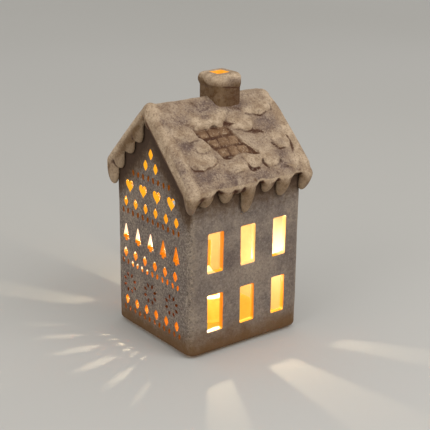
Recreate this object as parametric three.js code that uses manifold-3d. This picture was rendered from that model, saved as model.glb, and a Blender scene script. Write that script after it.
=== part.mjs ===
// Ceramic christmas house: a slab-built lantern with pierced walls, a snowy roof that lifts off,
// and a battery tealight that stands on the floor inside.
// Millimetres, +Z up. The origin is on the table, under the middle of the house.
// The front is the long wall that faces -Y, and the pierced gable is the end that faces -X.
import * as THREE from "three";
import { mergeVertices } from "three/addons/utils/BufferGeometryUtils.js";
import Module from "manifold-3d";

// House walls, measured over the outside
const HOUSE_LENGTH = 105;
const HOUSE_WIDTH = 98;
const WALL = 4.5;
const WALL_HEIGHT = 125; // table to the roof's seat, at the outer face of a long wall
const CORNER_RADIUS = 8;
const FOOT_ROUND = 3;
const FLOOR = 5;

// Clearances
const SEAT_GAP = 0.3; // between pieces that are luted together or rest on each other
const LIFT_GAP = 0.6; // between the outside of the walls and the snow that hangs over them

// Felt pads under the floor
const PAD_DIAMETER = 13;
const PAD_THICKNESS = 1.5;
const PAD_INSET = 17; // pad centre to the outside of the house, both ways

// Windows in each long wall, heights from the table
const WINDOW_WIDTH = 13.6;
const WINDOW_PITCH = 30;
const WINDOW_COLUMNS = 3;
const WINDOW_CORNER = 1.2;
const LOWER_SILL = 18.5;
const LOWER_WINDOW = 29.3;
const UPPER_SILL = 65;
const UPPER_WINDOW = 30.4;

// Cut-out pattern in the pierced gable: sizes of the motifs, then how far apart they stand
const SLIT_WIDTH = 1.9;
const SLIT_HEIGHT = 4.8;
const SLIT_SLANT = 12; // degrees, to the left and to the right by turns
const DIAMOND_WIDTH = 5.6;
const DIAMOND_HEIGHT = 8.4;
const HEART_WIDTH = 9.6;
const HEART_HEIGHT = 11;
const TREE_WIDTH = 8.2;
const TREE_HEIGHT = 14.8;
const TRUNK_WIDTH = 3;
const TRUNK_HEIGHT = 1.8;
const PETAL_WIDTH = 2.1;
const PETAL_LENGTH = 3.8;
const PETAL_COUNT = 8;
const FLOWER_RADIUS = 6.8; // flower centre to the middle of a petal
const SLIT_PITCH = HOUSE_WIDTH / 15;
const DIAMOND_PITCH = 2 * SLIT_PITCH;
const HEART_PITCH = HOUSE_WIDTH / 5.48;
const TREE_PITCH = HOUSE_WIDTH / 5.98;
const FLOWER_PITCH = HOUSE_WIDTH / 3.54;
const EDGE_MARGIN = 4; // least ceramic left between a cut-out and the edge of the gable

// Roof
const ROOF_PITCH = 44.5; // degrees
const ROOF_THICKNESS = 7.8; // slab and snow together, square to the slope
const EAVE_OVERHANG = 5.6;
const VERGE_OVERHANG = 4;
const RIDGE_SOFTENING = 4;
const EAVE_SOFTENING = 6;
const VERGE_SOFTENING = 2;
const ICICLE_THICKNESS = 5.6;
const ICICLE_BITE = 8; // how far an icicle's root reaches up into the eave
const VERGE_LUMP_LENGTH = 17; // along the slope
const VERGE_LUMP_DEPTH = 13.5; // square to the slope
const VERGE_LUMP_PROUD = 0.4; // how far it stands out past the slab's end
const DRIFT_RISE = 2.6; // how far a snow drift stands up from the slope
const DRIFT_SINK = 1.1; // and how far its middle lies under it
const SHINGLE_DEPTH = 2.2;
const SHINGLE_RELIEF = 1.3;
const SHINGLE_WIDTH = 8.6;
const SHINGLE_HEIGHT = 8.6;
const SHINGLE_ROWS = 3;
const SHINGLE_COLUMNS = 3;
const SHINGLE_STAGGER = 4; // how far each row stands along the house from the row above it
const SHINGLE_JOINT = 0.9;
const SHINGLE_ALONG = -9.5; // middle of the bare patch along the house
const SHINGLE_DOWN = 41.5; // and down the slope from the ridge

// Chimney
const CHIMNEY_ALONG = 9.5;
const CHIMNEY_RISE = 14.5; // top above the ridge
const CHIMNEY_SIDE = 20.5;
const CHIMNEY_CAP_SIDE = 23.2;
const CHIMNEY_CAP_HEIGHT = 9;
const CHIMNEY_ROUND = 4.5;
const CAP_SOFTENING = 3;
const FLUE_SIDE = 10;
const FLUE_ROUND = 2;

// Tealight, heights from its underside
const TEALIGHT_DIAMETER = 38;
const TEALIGHT_HEIGHT = 20.3;
const CASE_WALL = 1.2;
const CASE_RIM = 1.4; // width of the rim around the dished top
const DISH_DEPTH = 1.6;
const STEM_RADIUS = 4.2;
const STEM_BORE = 2.4;
const BASE_THICKNESS = 1.6;
const FLAME_HEIGHT = 21.5;
const FLAME_RADIUS = 6.8;
const FLAME_FOOT = 6.2;
const FLAME_WALL = 1;

// Lamp, cell and contacts inside the tealight
const LED_RADIUS = 2.5;
const LED_FLANGE = 2.9;
const LED_FLANGE_HEIGHT = 1;
const LED_HEIGHT = 8.6;
const LED_BELOW_TIP = 3.3; // top of the lens to the tip of the flame
const LEAD_SIDE = 0.5;
const LEAD_SPACING = 2.54;
const CELL_RADIUS = 10;
const CELL_HEIGHT = 3.2;
const CELL_STEP = 0.6; // height of the smaller negative cap of the cell
const CELL_CAP_RADIUS = 8.6;
const STRIP = 0.4; // contact sheet
const STRIP_WIDTH = 4;
const SPRING_LENGTH = 15;
const SPRING_RISE = 2;
const FEEDER_RISE = 2; // how far the switch's contact passes above the spring
const POST_RADIUS = 1.5; // posts that hang from the top of the case round the cell
const POST_COUNT = 4;

// Twist-lock battery cap and switch in the tealight's base
const CAP_OFFSET = 3.2; // cap centre from the tealight's axis, away from the switch
const CAP_RADIUS = 11.7;
const CAP_RECESS = 0.2;
const CAP_RING = 1.2;
const LUG_COUNT = 3;
const LUG_REACH = 1.5;
const LUG_HEIGHT = 1;
const LUG_ANGLE = 24; // degrees
const LUG_PLAY = 3; // degrees of play of a lug in its notch, each side
const CAP_TURN = 60; // degrees from locked to open
const COIN_SLOT_WIDTH = 1.8;
const COIN_SLOT_LENGTH = 14;
const COIN_SLOT_DEPTH = 0.7;
const KNOB_LENGTH = 3.4;
const KNOB_WIDTH = 2.6;
const KNOB_RECESS = 0.3;
const SLIDER_LENGTH = 9.4;
const SLIDER_WIDTH = 4;
const SLIDER_HEIGHT = 1;
const SWITCH_TRAVEL = 3;
const SWITCH_REACH = 14; // tealight axis to the middle of the switch

// Facets of round pieces
const ROUND_SIDES = 36;
const SMALL_SIDES = 14;
const CORNER_STEPS = 3;
const SOFT_STEPS = 2;
const SNOW_SIDES = 10;
const SNOW_RINGS = 7;

const MERGE_DISTANCE = 1e-4;
const OVERCUT = 1; // how far a cutter runs past the face that it opens

const HALF = 0.5;
const TURN = 2 * Math.PI;
const radians = THREE.MathUtils.degToRad;

const wasm = await Module();
wasm.setup();

// Joining and cutting

// A closed three.js geometry as a solid. Triangles that have shrunk to a line are dropped.
function solidOf(geometry) {
  const bare = geometry.clone();
  bare.deleteAttribute("normal");
  bare.deleteAttribute("uv");
  const merged = mergeVertices(bare, MERGE_DISTANCE);
  const index = merged.index.array;
  const triangles = [];
  for (let i = 0; i < index.length; i += 3) {
    const [a, b, c] = index.slice(i, i + 3);
    if (a !== b && b !== c && c !== a) triangles.push(a, b, c);
  }
  const vertProperties = new Float32Array(merged.attributes.position.array);
  const triVerts = new Uint32Array(triangles);
  return new wasm.Manifold(new wasm.Mesh({ numProp: 3, vertProperties, triVerts }));
}

function geometryOf(solid) {
  const mesh = solid.getMesh();
  const geometry = new THREE.BufferGeometry();
  geometry.setAttribute("position", new THREE.BufferAttribute(mesh.vertProperties, 3));
  geometry.setIndex(new THREE.BufferAttribute(mesh.triVerts, 1));
  geometry.computeVertexNormals();
  return geometry;
}

const join = (solids) => solids.reduce((whole, piece) => whole.add(piece));
const cut = (solid, cutters) => cutters.reduce((rest, cutter) => rest.subtract(cutter), solid);

// Directions in which a flat outline is extruded: the outline's own axes, then the way it grows
const UPRIGHT = new THREE.Matrix4(); // outline in X and Y, growing along +Z
const ALONG_X = new THREE.Matrix4().makeBasis(
  new THREE.Vector3(0, 1, 0),
  new THREE.Vector3(0, 0, 1),
  new THREE.Vector3(1, 0, 0),
); // outline in Y and Z, growing along +X
const ALONG_Y = new THREE.Matrix4().makeBasis(
  new THREE.Vector3(1, 0, 0),
  new THREE.Vector3(0, 0, 1),
  new THREE.Vector3(0, -1, 0),
); // outline in X and Z, growing along -Y

// One or more flat outlines as a prism that reaches from one distance to another along its direction.
function prism(outlines, direction, from, to, softening = 0) {
  const geometry = new THREE.ExtrudeGeometry(outlines, {
    depth: to - from - 2 * softening,
    curveSegments: CORNER_STEPS,
    bevelEnabled: softening > 0,
    bevelThickness: softening,
    bevelSize: softening,
    bevelOffset: -softening,
    bevelSegments: SOFT_STEPS,
  });
  geometry.translate(0, 0, from + softening);
  return solidOf(geometry.applyMatrix4(direction));
}

// A profile of radius and height pairs turned round the Z axis.
function turned(profile, sides = ROUND_SIDES) {
  const points = profile.map(([radius, height]) => new THREE.Vector2(radius, height));
  return solidOf(new THREE.LatheGeometry(points, sides).rotateX(Math.PI / 2));
}

function box(low, high) {
  const size = high.map((value, axis) => value - low[axis]);
  const middle = high.map((value, axis) => HALF * (value + low[axis]));
  return solidOf(new THREE.BoxGeometry(...size).translate(...middle));
}

function roundedRectangle(width, height, radius, x = 0, y = 0) {
  const right = x + HALF * width;
  const left = x - HALF * width;
  const top = y + HALF * height;
  const bottom = y - HALF * height;
  const shape = new THREE.Shape();
  shape.moveTo(left + radius, bottom);
  shape.lineTo(right - radius, bottom);
  shape.absarc(right - radius, bottom + radius, radius, -TURN / 4, 0);
  shape.lineTo(right, top - radius);
  shape.absarc(right - radius, top - radius, radius, 0, TURN / 4);
  shape.lineTo(left + radius, top);
  shape.absarc(left + radius, top - radius, radius, TURN / 4, TURN / 2);
  shape.lineTo(left, bottom + radius);
  shape.absarc(left + radius, bottom + radius, radius, TURN / 2, 0.75 * TURN);
  return shape;
}

function polygon(points) {
  return new THREE.Shape(points.map(([x, y]) => new THREE.Vector2(x, y)));
}

function circle(radius, sides, x = 0, y = 0) {
  const corners = Array.from({ length: sides }, (_, i) => (TURN * i) / sides);
  return polygon(corners.map((a) => [x + radius * Math.cos(a), y + radius * Math.sin(a)]));
}

// Finishes
const finish = (color, roughness, metalness = 0) =>
  new THREE.MeshStandardMaterial({ color, roughness, metalness });
const wallClay = finish(0x8a8178, 0.85);
const snowClay = finish(0xc4ae90, 0.8);
const felt = finish(0x2e2a27, 0.95);
const ivoryPlastic = finish(0xefe6d2, 0.45);
const frostedPlastic = finish(0xffc36a, 0.5);
const clearResin = finish(0xffe2a0, 0.1);
const tinPlate = finish(0xb9b6ad, 0.3, 1);
const darkPlastic = finish(0x2b2b2b, 0.5);

function addPiece(group, name, solid, material) {
  const mesh = new THREE.Mesh(geometryOf(solid), material);
  mesh.name = name;
  group.add(mesh);
}

// Heights and faces that several pieces share
const slope = Math.tan(radians(ROOF_PITCH));
const slopeCosine = Math.cos(radians(ROOF_PITCH));
const halfLength = HALF * HOUSE_LENGTH;
const halfWidth = HALF * HOUSE_WIDTH;
const floorTop = PAD_THICKNESS + SEAT_GAP + FLOOR;
const gableApex = WALL_HEIGHT + slope * halfWidth;
const undersideApex = gableApex + SEAT_GAP / slopeCosine;
const roofApex = undersideApex + ROOF_THICKNESS / slopeCosine;
const chimneyTop = roofApex + CHIMNEY_RISE;
const eaveReach = halfWidth + EAVE_OVERHANG;
const vergeReach = halfLength + VERGE_OVERHANG;

// The area under two slopes that meet at a height on the middle line, as seen along the house.
const gableOutline = (apex, reach, bottom) =>
  polygon([
    [-reach, bottom],
    [reach, bottom],
    [reach, apex - slope * reach],
    [0, apex],
    [-reach, apex - slope * reach],
  ]);

// Walls

// The four walls before they are parted at the corners, cut off along the slopes of the roof.
function wallRing() {
  const bottom = PAD_THICKNESS + SEAT_GAP;
  const outer = roundedRectangle(HOUSE_LENGTH, HOUSE_WIDTH, CORNER_RADIUS);
  const innerCorner = Math.max(CORNER_RADIUS - WALL, WALL * HALF);
  const inner = roundedRectangle(HOUSE_LENGTH - 2 * WALL, HOUSE_WIDTH - 2 * WALL, innerCorner);
  const block = prism(outer, UPRIGHT, bottom, gableApex + FOOT_ROUND, FOOT_ROUND);
  const room = prism(inner, UPRIGHT, 0, gableApex + 2 * FOOT_ROUND);
  const underRoof = prism(gableOutline(gableApex, HOUSE_WIDTH, 0), ALONG_X, -HOUSE_LENGTH, HOUSE_LENGTH);
  return block.subtract(room).intersect(underRoof);
}

// The share of the plan that belongs to one wall: its two ends are mitred at 45 degrees.
// A long wall faces along -Y or +Y and a gable along -X or +X.
function mitredShare(halfRun, halfDepth, depthWay) {
  const depth = 2 * CORNER_RADIUS + WALL;
  const inset = SEAT_GAP * Math.SQRT1_2;
  const outerRun = halfRun + OVERCUT - inset;
  return [
    [-outerRun, depthWay * (halfDepth + OVERCUT)],
    [outerRun, depthWay * (halfDepth + OVERCUT)],
    [outerRun - depth, depthWay * (halfDepth + OVERCUT - depth)],
    [-outerRun + depth, depthWay * (halfDepth + OVERCUT - depth)],
  ];
}

function windowCutters(y) {
  const shapes = [];
  for (let column = 0; column < WINDOW_COLUMNS; column++) {
    const x = (column - HALF * (WINDOW_COLUMNS - 1)) * WINDOW_PITCH;
    const row = (sill, height) =>
      roundedRectangle(WINDOW_WIDTH, height, WINDOW_CORNER, x, sill + HALF * height);
    shapes.push(row(LOWER_SILL, LOWER_WINDOW), row(UPPER_SILL, UPPER_WINDOW));
  }
  return prism(shapes, ALONG_Y, -y - WALL - OVERCUT, -y + WALL + OVERCUT);
}

// Motifs of the pierced gable. Each is drawn round its own middle, with its place and its turn added.
function place(points, y, z, angle = 0) {
  const c = Math.cos(angle);
  const s = Math.sin(angle);
  return polygon(points.map(([a, b]) => [y + c * a - s * b, z + s * a + c * b]));
}

const lozenge = (width, height) => [
  [0, -HALF * height],
  [HALF * width, 0],
  [0, HALF * height],
  [-HALF * width, 0],
];

function slit(y, z, number) {
  const slant = radians(number % 2 ? -SLIT_SLANT : SLIT_SLANT);
  const side = HALF * SLIT_WIDTH;
  const end = HALF * SLIT_HEIGHT;
  const shoulder = end - side;
  const outline = [
    [0, -end],
    [side, -shoulder],
    [side, shoulder],
    [0, end],
    [-side, shoulder],
    [-side, -shoulder],
  ];
  return [place(outline, y, z, slant)];
}

const diamond = (y, z) => [place(lozenge(DIAMOND_WIDTH, DIAMOND_HEIGHT), y, z)];

// How far above the notch a lobe's control points stand, for an arc that rises half as far as it is wide
const LOBE_REACH = 2 / 3;

function heart(y, z) {
  const width = HALF * HEART_WIDTH;
  const lobe = HALF * width;
  const point = z - HALF * HEART_HEIGHT;
  const notch = z + HALF * HEART_HEIGHT - lobe;
  const crown = notch + HALF * HEART_WIDTH * LOBE_REACH;
  const shape = new THREE.Shape();
  shape.moveTo(y, point);
  shape.bezierCurveTo(y + lobe, z - lobe, y + width, z, y + width, notch);
  shape.bezierCurveTo(y + width, crown, y, crown, y, notch);
  shape.bezierCurveTo(y, crown, y - width, crown, y - width, notch);
  shape.bezierCurveTo(y - width, z, y - lobe, z - lobe, y, point);
  return [shape];
}

function tree(y, z) {
  const foot = -HALF * TREE_HEIGHT;
  const skirt = foot + TRUNK_HEIGHT;
  const outline = [
    [-HALF * TRUNK_WIDTH, foot],
    [HALF * TRUNK_WIDTH, foot],
    [HALF * TRUNK_WIDTH, skirt],
    [HALF * TREE_WIDTH, skirt],
    [0, HALF * TREE_HEIGHT],
    [-HALF * TREE_WIDTH, skirt],
    [-HALF * TRUNK_WIDTH, skirt],
  ];
  return [place(outline, y, z)];
}

function flower(y, z) {
  return Array.from({ length: PETAL_COUNT }, (_, petal) => {
    const angle = (TURN * (petal + HALF)) / PETAL_COUNT;
    const petalY = y + FLOWER_RADIUS * Math.cos(angle);
    const petalZ = z + FLOWER_RADIUS * Math.sin(angle);
    return place(lozenge(PETAL_WIDTH, PETAL_LENGTH), petalY, petalZ, angle - TURN / 4);
  });
}

// Rows of the pattern from the table up: motif, how many, how far apart, and the height of their middle
// as a share of the wall's height.
const PATTERN_ROWS = [
  [slit, 12, SLIT_PITCH, 0.115],
  [diamond, 6, DIAMOND_PITCH, 0.171],
  [flower, 3, FLOWER_PITCH, 0.288],
  [slit, 12, SLIT_PITCH, 0.422],
  [diamond, 6, DIAMOND_PITCH, 0.482],
  [tree, 5, TREE_PITCH, 0.621],
  [slit, 12, SLIT_PITCH, 0.755],
  [diamond, 6, DIAMOND_PITCH, 0.816],
  [heart, 4, HEART_PITCH, 0.918],
  [slit, 8, SLIT_PITCH, 1.011],
  [diamond, 2, DIAMOND_PITCH, 1.085],
  [diamond, 1, DIAMOND_PITCH, 1.165],
];

// A cut-out is made only where it leaves ceramic at the sides and under the slopes of the gable.
function staysInside(shape) {
  return shape.getPoints(CORNER_STEPS).every((point) => {
    const side = halfWidth - WALL - Math.abs(point.x);
    const underSlope = (gableApex - slope * Math.abs(point.x) - point.y) * slopeCosine;
    return side > EDGE_MARGIN && underSlope > EDGE_MARGIN && point.y > floorTop;
  });
}

function patternCutters() {
  const shapes = PATTERN_ROWS.flatMap(([motif, count, pitch, share]) =>
    Array.from({ length: count }, (_, number) =>
      motif((number - HALF * (count - 1)) * pitch, share * WALL_HEIGHT, number),
    ).flat(),
  );
  const kept = shapes.filter(staysInside);
  return prism(kept, ALONG_X, -halfLength - OVERCUT, -halfLength + WALL + OVERCUT);
}

function addWalls(group) {
  const ring = wallRing();
  const part = (points) => ring.intersect(prism(polygon(points), UPRIGHT, -OVERCUT, gableApex + OVERCUT));
  const swapped = (points) => points.map(([run, depth]) => [depth, run]);
  const front = part(mitredShare(halfLength, halfWidth, -1));
  const back = part(mitredShare(halfLength, halfWidth, 1).reverse());
  const left = part(swapped(mitredShare(halfWidth, halfLength, -1)).reverse());
  const right = part(swapped(mitredShare(halfWidth, halfLength, 1)));
  addPiece(group, "front_wall", front.subtract(windowCutters(-halfWidth)), wallClay);
  addPiece(group, "back_wall", back.subtract(windowCutters(halfWidth)), wallClay);
  addPiece(group, "pierced_gable", left.subtract(patternCutters()), wallClay);
  addPiece(group, "plain_gable", right, wallClay);
}

function addFloorAndPads(group) {
  const inset = WALL + SEAT_GAP;
  const corner = Math.max(CORNER_RADIUS - inset, WALL * HALF);
  const outline = roundedRectangle(HOUSE_LENGTH - 2 * inset, HOUSE_WIDTH - 2 * inset, corner);
  addPiece(group, "floor_slab", prism(outline, UPRIGHT, floorTop - FLOOR, floorTop), wallClay);
  for (const [sideName, y] of [["front", -1], ["back", 1]]) {
    for (const [endName, x] of [["left", -1], ["right", 1]]) {
      const padX = x * (halfLength - PAD_INSET);
      const padY = y * (halfWidth - PAD_INSET);
      const pad = prism(circle(HALF * PAD_DIAMETER, SMALL_SIDES, padX, padY), UPRIGHT, 0, PAD_THICKNESS);
      addPiece(group, `felt_pad_${sideName}_${endName}`, pad, felt);
    }
  }
}

// Roof

// A ball of snow stretched to a length, a depth and a height, turned about the house's long axis.
function snowBall(size, at, turn = 0) {
  const geometry = new THREE.SphereGeometry(HALF, SNOW_SIDES, SNOW_RINGS);
  geometry.scale(...size).rotateX(turn).translate(...at);
  return solidOf(geometry);
}

// The point on the roof at a place along the house, a way down the slope from the ridge
// and a height above the slab's top. The side is -1 for the front slope and 1 for the back.
function onSlope(along, down, above, side) {
  const run = down * slopeCosine + above * Math.sin(radians(ROOF_PITCH));
  const height = roofApex - down * Math.sin(radians(ROOF_PITCH)) + above * slopeCosine;
  return [along, side * run, height];
}

// Two slabs that meet in a soft ridge, with soft eaves and verges.
function roofSlabs() {
  const eaveTop = roofApex - slope * eaveReach;
  const eaveBottom = undersideApex - slope * eaveReach;
  const shape = new THREE.Shape();
  shape.moveTo(0, undersideApex);
  shape.lineTo(-eaveReach, eaveBottom);
  shape.lineTo(-eaveReach, eaveTop - EAVE_SOFTENING);
  const turnIn = -eaveReach + EAVE_SOFTENING;
  shape.quadraticCurveTo(-eaveReach, eaveTop, turnIn, eaveTop + slope * EAVE_SOFTENING);
  shape.lineTo(-RIDGE_SOFTENING, roofApex - slope * RIDGE_SOFTENING);
  shape.quadraticCurveTo(0, roofApex, RIDGE_SOFTENING, roofApex - slope * RIDGE_SOFTENING);
  shape.lineTo(-turnIn, eaveTop + slope * EAVE_SOFTENING);
  shape.quadraticCurveTo(eaveReach, eaveTop, eaveReach, eaveTop - EAVE_SOFTENING);
  shape.lineTo(eaveReach, eaveBottom);
  return prism(shape, ALONG_X, -vergeReach, vergeReach, VERGE_SOFTENING);
}

// Icicles along the front eave: place as a share of the half length, width, and drop below the eave.
const ICICLES = [
  [-0.9, 15, 7],
  [-0.68, 15, 3.5],
  [-0.4, 22, 4],
  [-0.1, 11, 14],
  [0.24, 21, 2.5],
  [0.55, 16, 8],
  [0.83, 18, 5],
];

function icicles(side) {
  const eaveBottom = undersideApex - slope * eaveReach;
  const y = halfWidth + LIFT_GAP + HALF * ICICLE_THICKNESS;
  return ICICLES.map(([share, width, drop]) => {
    const height = drop + ICICLE_BITE;
    const z = eaveBottom + HALF * (ICICLE_BITE - drop);
    return snowBall([width, ICICLE_THICKNESS, height], [-side * share * vergeReach, side * y, z]);
  });
}

// Lumps of snow that hang over the outside of both gables and keep the roof from sliding along the house.
const VERGE_LUMPS = [0.2, 0.42, 0.64, 0.86]; // places as shares of the slope's length

function vergeLumps(side) {
  const slopeLength = eaveReach / slopeCosine;
  const thickness = VERGE_OVERHANG + VERGE_LUMP_PROUD - LIFT_GAP;
  const x = vergeReach + VERGE_LUMP_PROUD - HALF * thickness;
  return [-1, 1].flatMap((end) =>
    VERGE_LUMPS.map((share) =>
      snowBall(
        [thickness, VERGE_LUMP_LENGTH, VERGE_LUMP_DEPTH],
        onSlope(end * x, share * slopeLength, -ROOF_THICKNESS, side),
        -side * radians(ROOF_PITCH),
      ),
    ),
  );
}

// Drifts on a slope: place along the house and down the slope as shares, then length along and down.
const DRIFTS = [
  [-0.25, 0.26, 34, 18],
  [-0.69, 0.39, 25, 15],
  [-0.5, 0.54, 15, 15],
  [-0.58, 0.7, 26, 18],
  [-0.14, 0.82, 24, 14],
  [0.13, 0.86, 14, 10],
  [0.42, 0.76, 20, 22],
  [0.74, 0.6, 19, 21],
  [0.6, 0.21, 28, 19],
  [0.25, 0.35, 25, 18],
];

function drifts(side) {
  const slopeLength = eaveReach / slopeCosine;
  return DRIFTS.map(([along, down, length, width]) =>
    snowBall(
      [length, width, 2 * (DRIFT_RISE + DRIFT_SINK)],
      onSlope(-side * along * vergeReach, down * slopeLength, -DRIFT_SINK, side),
      -side * radians(ROOF_PITCH),
    ),
  );
}

// The middle of the bare patch as a matrix: X along the house, Y up the front slope, Z out of the snow.
function patchFrame() {
  const turn = new THREE.Matrix4().makeRotationX(radians(ROOF_PITCH));
  return turn.setPosition(...onSlope(SHINGLE_ALONG, SHINGLE_DOWN, 0, -1));
}

// A block for each shingle row of the bare patch, from one height above the slab's top to another.
// The rows are counted from the eave up, and each has the columns that it is given, a width apart.
function shingleBlocks(columns, width, height, from, to) {
  const frame = patchFrame();
  const blocks = [];
  for (let row = 0; row < SHINGLE_ROWS; row++) {
    const rowsUp = row - HALF * (SHINGLE_ROWS - 1);
    for (let column = 0; column < columns; column++) {
      const x = (column - HALF * (columns - 1)) * SHINGLE_WIDTH - rowsUp * SHINGLE_STAGGER;
      const block = new THREE.BoxGeometry(width, height, to - from);
      block.translate(x, rowsUp * SHINGLE_HEIGHT, HALF * (from + to));
      blocks.push(solidOf(block.applyMatrix4(frame)));
    }
  }
  return blocks;
}

// The patch where the snow is gone: a shallow recess, and the rows of shingles on its floor.
function shingleRecess() {
  const width = SHINGLE_COLUMNS * SHINGLE_WIDTH + SHINGLE_JOINT;
  const height = SHINGLE_HEIGHT + SHINGLE_JOINT;
  return shingleBlocks(1, width, height, -SHINGLE_DEPTH, DRIFT_RISE + OVERCUT);
}

function shingles() {
  const width = SHINGLE_WIDTH - SHINGLE_JOINT;
  const height = SHINGLE_HEIGHT - SHINGLE_JOINT;
  const floor = -SHINGLE_DEPTH - OVERCUT;
  return shingleBlocks(SHINGLE_COLUMNS, width, height, floor, SHINGLE_RELIEF - SHINGLE_DEPTH);
}

const flueOutline = () => roundedRectangle(FLUE_SIDE, FLUE_SIDE, FLUE_ROUND, CHIMNEY_ALONG, 0);

function chimneyStack() {
  const stackFoot = roofApex - slope * CHIMNEY_CAP_SIDE;
  const shaft = roundedRectangle(CHIMNEY_SIDE, CHIMNEY_SIDE, CHIMNEY_ROUND, CHIMNEY_ALONG, 0);
  const head = roundedRectangle(CHIMNEY_CAP_SIDE, CHIMNEY_CAP_SIDE, CHIMNEY_ROUND, CHIMNEY_ALONG, 0);
  const capFoot = chimneyTop - CHIMNEY_CAP_HEIGHT;
  const stack = join([
    prism(shaft, UPRIGHT, stackFoot, chimneyTop - CAP_SOFTENING),
    prism(head, UPRIGHT, capFoot, chimneyTop, CAP_SOFTENING),
  ]);
  const flue = prism(flueOutline(), UPRIGHT, stackFoot - OVERCUT, chimneyTop + OVERCUT);
  const seat = gableOutline(roofApex + SEAT_GAP / slopeCosine, eaveReach, 0);
  return cut(stack, [flue, prism(seat, ALONG_X, -HOUSE_LENGTH, HOUSE_LENGTH)]);
}

// Everything above a slope in the chimney's footprint stays clear of snow.
function chimneyClearance() {
  const side = CHIMNEY_CAP_SIDE + 2 * SEAT_GAP;
  const footprint = roundedRectangle(side, side, CHIMNEY_ROUND, CHIMNEY_ALONG, 0);
  const snowLine = roofApex + (HALF * SEAT_GAP) / slopeCosine;
  const slabs = prism(gableOutline(snowLine, eaveReach, 0), ALONG_X, -HOUSE_LENGTH, HOUSE_LENGTH);
  return prism(footprint, UPRIGHT, undersideApex - HOUSE_WIDTH, chimneyTop).subtract(slabs);
}

function addRoof(group) {
  const flue = prism(flueOutline(), UPRIGHT, 0, chimneyTop);
  const bounds = (side) => {
    const near = HALF * SEAT_GAP;
    const far = eaveReach + OVERCUT;
    const [lowY, highY] = side < 0 ? [-far, -near] : [near, far];
    return box([-HOUSE_LENGTH, lowY, 0], [HOUSE_LENGTH, highY, chimneyTop]);
  };
  const slabs = roofSlabs();
  const clear = chimneyClearance();
  const snow = (side) => join([slabs, ...drifts(side), ...vergeLumps(side), ...icicles(side)]);
  const front = join([cut(snow(-1), shingleRecess()), ...shingles()]);
  const frontSlab = cut(front, [flue, clear]).intersect(bounds(-1));
  const backSlab = cut(snow(1), [flue, clear]).intersect(bounds(1));
  addPiece(group, "roof_front_slab", frontSlab, snowClay);
  addPiece(group, "roof_back_slab", backSlab, snowClay);
  addPiece(group, "chimney", chimneyStack(), snowClay);
}

// Tealight, in its own group whose origin is the middle of its underside

const caseRadius = HALF * TEALIGHT_DIAMETER;
const caseInside = caseRadius - CASE_WALL;
const dishHeight = TEALIGHT_HEIGHT - DISH_DEPTH;
const plateUnderside = dishHeight - CASE_WALL;
const flameFoot = dishHeight + SEAT_GAP;
const stemTop = flameFoot + FLAME_HEIGHT - LED_BELOW_TIP - LED_HEIGHT - SEAT_GAP;
const cellBottom = BASE_THICKNESS + SEAT_GAP;
const cellTop = cellBottom + CELL_HEIGHT;
const lugBottom = BASE_THICKNESS + SEAT_GAP;
const lugTop = lugBottom + LUG_HEIGHT;
const springBottom = cellTop + SEAT_GAP;
const springTop = springBottom + SPRING_RISE + STRIP;
const feederBottom = springTop + FEEDER_RISE;

function tealightCase() {
  const shell = turned([
    [caseInside, 0],
    [caseRadius, 0],
    [caseRadius, TEALIGHT_HEIGHT - HALF * CASE_RIM],
    [caseRadius - HALF * CASE_RIM, TEALIGHT_HEIGHT],
    [caseRadius - CASE_RIM, TEALIGHT_HEIGHT],
    [caseRadius - CASE_RIM - DISH_DEPTH, dishHeight],
    [STEM_RADIUS, dishHeight],
    [STEM_RADIUS, stemTop],
    [STEM_BORE, stemTop],
    [STEM_BORE, plateUnderside],
    [caseInside, plateUnderside],
    [caseInside, 0],
  ]);
  const postCircle = CELL_RADIUS + POST_RADIUS + 2 * SEAT_GAP;
  const posts = Array.from({ length: POST_COUNT }, (_, number) => {
    const angle = (TURN * (number + HALF)) / POST_COUNT;
    const x = postCircle * Math.cos(angle);
    const y = CAP_OFFSET + postCircle * Math.sin(angle);
    const outline = circle(POST_RADIUS, SMALL_SIDES, x, y);
    return prism(outline, UPRIGHT, lugTop + SEAT_GAP, plateUnderside + HALF * CASE_WALL);
  });
  return join([shell, ...posts]);
}

const lugDirection = (lug) => TURN / 4 + (TURN * lug) / LUG_COUNT;

// The opening for the battery cap: a round hole with notches that let the cap's lugs through.
function capOpening() {
  const radius = CAP_RADIUS + SEAT_GAP;
  const notchRadius = radius + LUG_REACH;
  const notchAngle = radians(LUG_ANGLE + 2 * LUG_PLAY);
  const points = [];
  const arc = (r, from, to) => {
    const steps = Math.max(1, Math.round((ROUND_SIDES * (to - from)) / TURN));
    for (let i = 0; i <= steps; i++) {
      const angle = from + ((to - from) * i) / steps;
      points.push([r * Math.cos(angle), CAP_OFFSET + r * Math.sin(angle)]);
    }
  };
  for (let lug = 0; lug < LUG_COUNT; lug++) {
    const notch = lugDirection(lug) + radians(CAP_TURN);
    const next = lugDirection(lug + 1) + radians(CAP_TURN);
    arc(notchRadius, notch - HALF * notchAngle, notch + HALF * notchAngle);
    arc(radius, notch + HALF * notchAngle, next - HALF * notchAngle);
  }
  return polygon(points);
}

function tealightBase() {
  const plate = prism(circle(caseInside - SEAT_GAP, ROUND_SIDES), UPRIGHT, 0, BASE_THICKNESS);
  const slotLength = KNOB_LENGTH + SWITCH_TRAVEL + 2 * SEAT_GAP;
  const slotX = HALF * SWITCH_TRAVEL;
  const slot = box(
    [slotX - HALF * slotLength, -SWITCH_REACH - HALF * KNOB_WIDTH - SEAT_GAP, -OVERCUT],
    [slotX + HALF * slotLength, -SWITCH_REACH + HALF * KNOB_WIDTH + SEAT_GAP, BASE_THICKNESS + OVERCUT],
  );
  return cut(plate, [prism(capOpening(), UPRIGHT, -OVERCUT, BASE_THICKNESS + OVERCUT), slot]);
}

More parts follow.
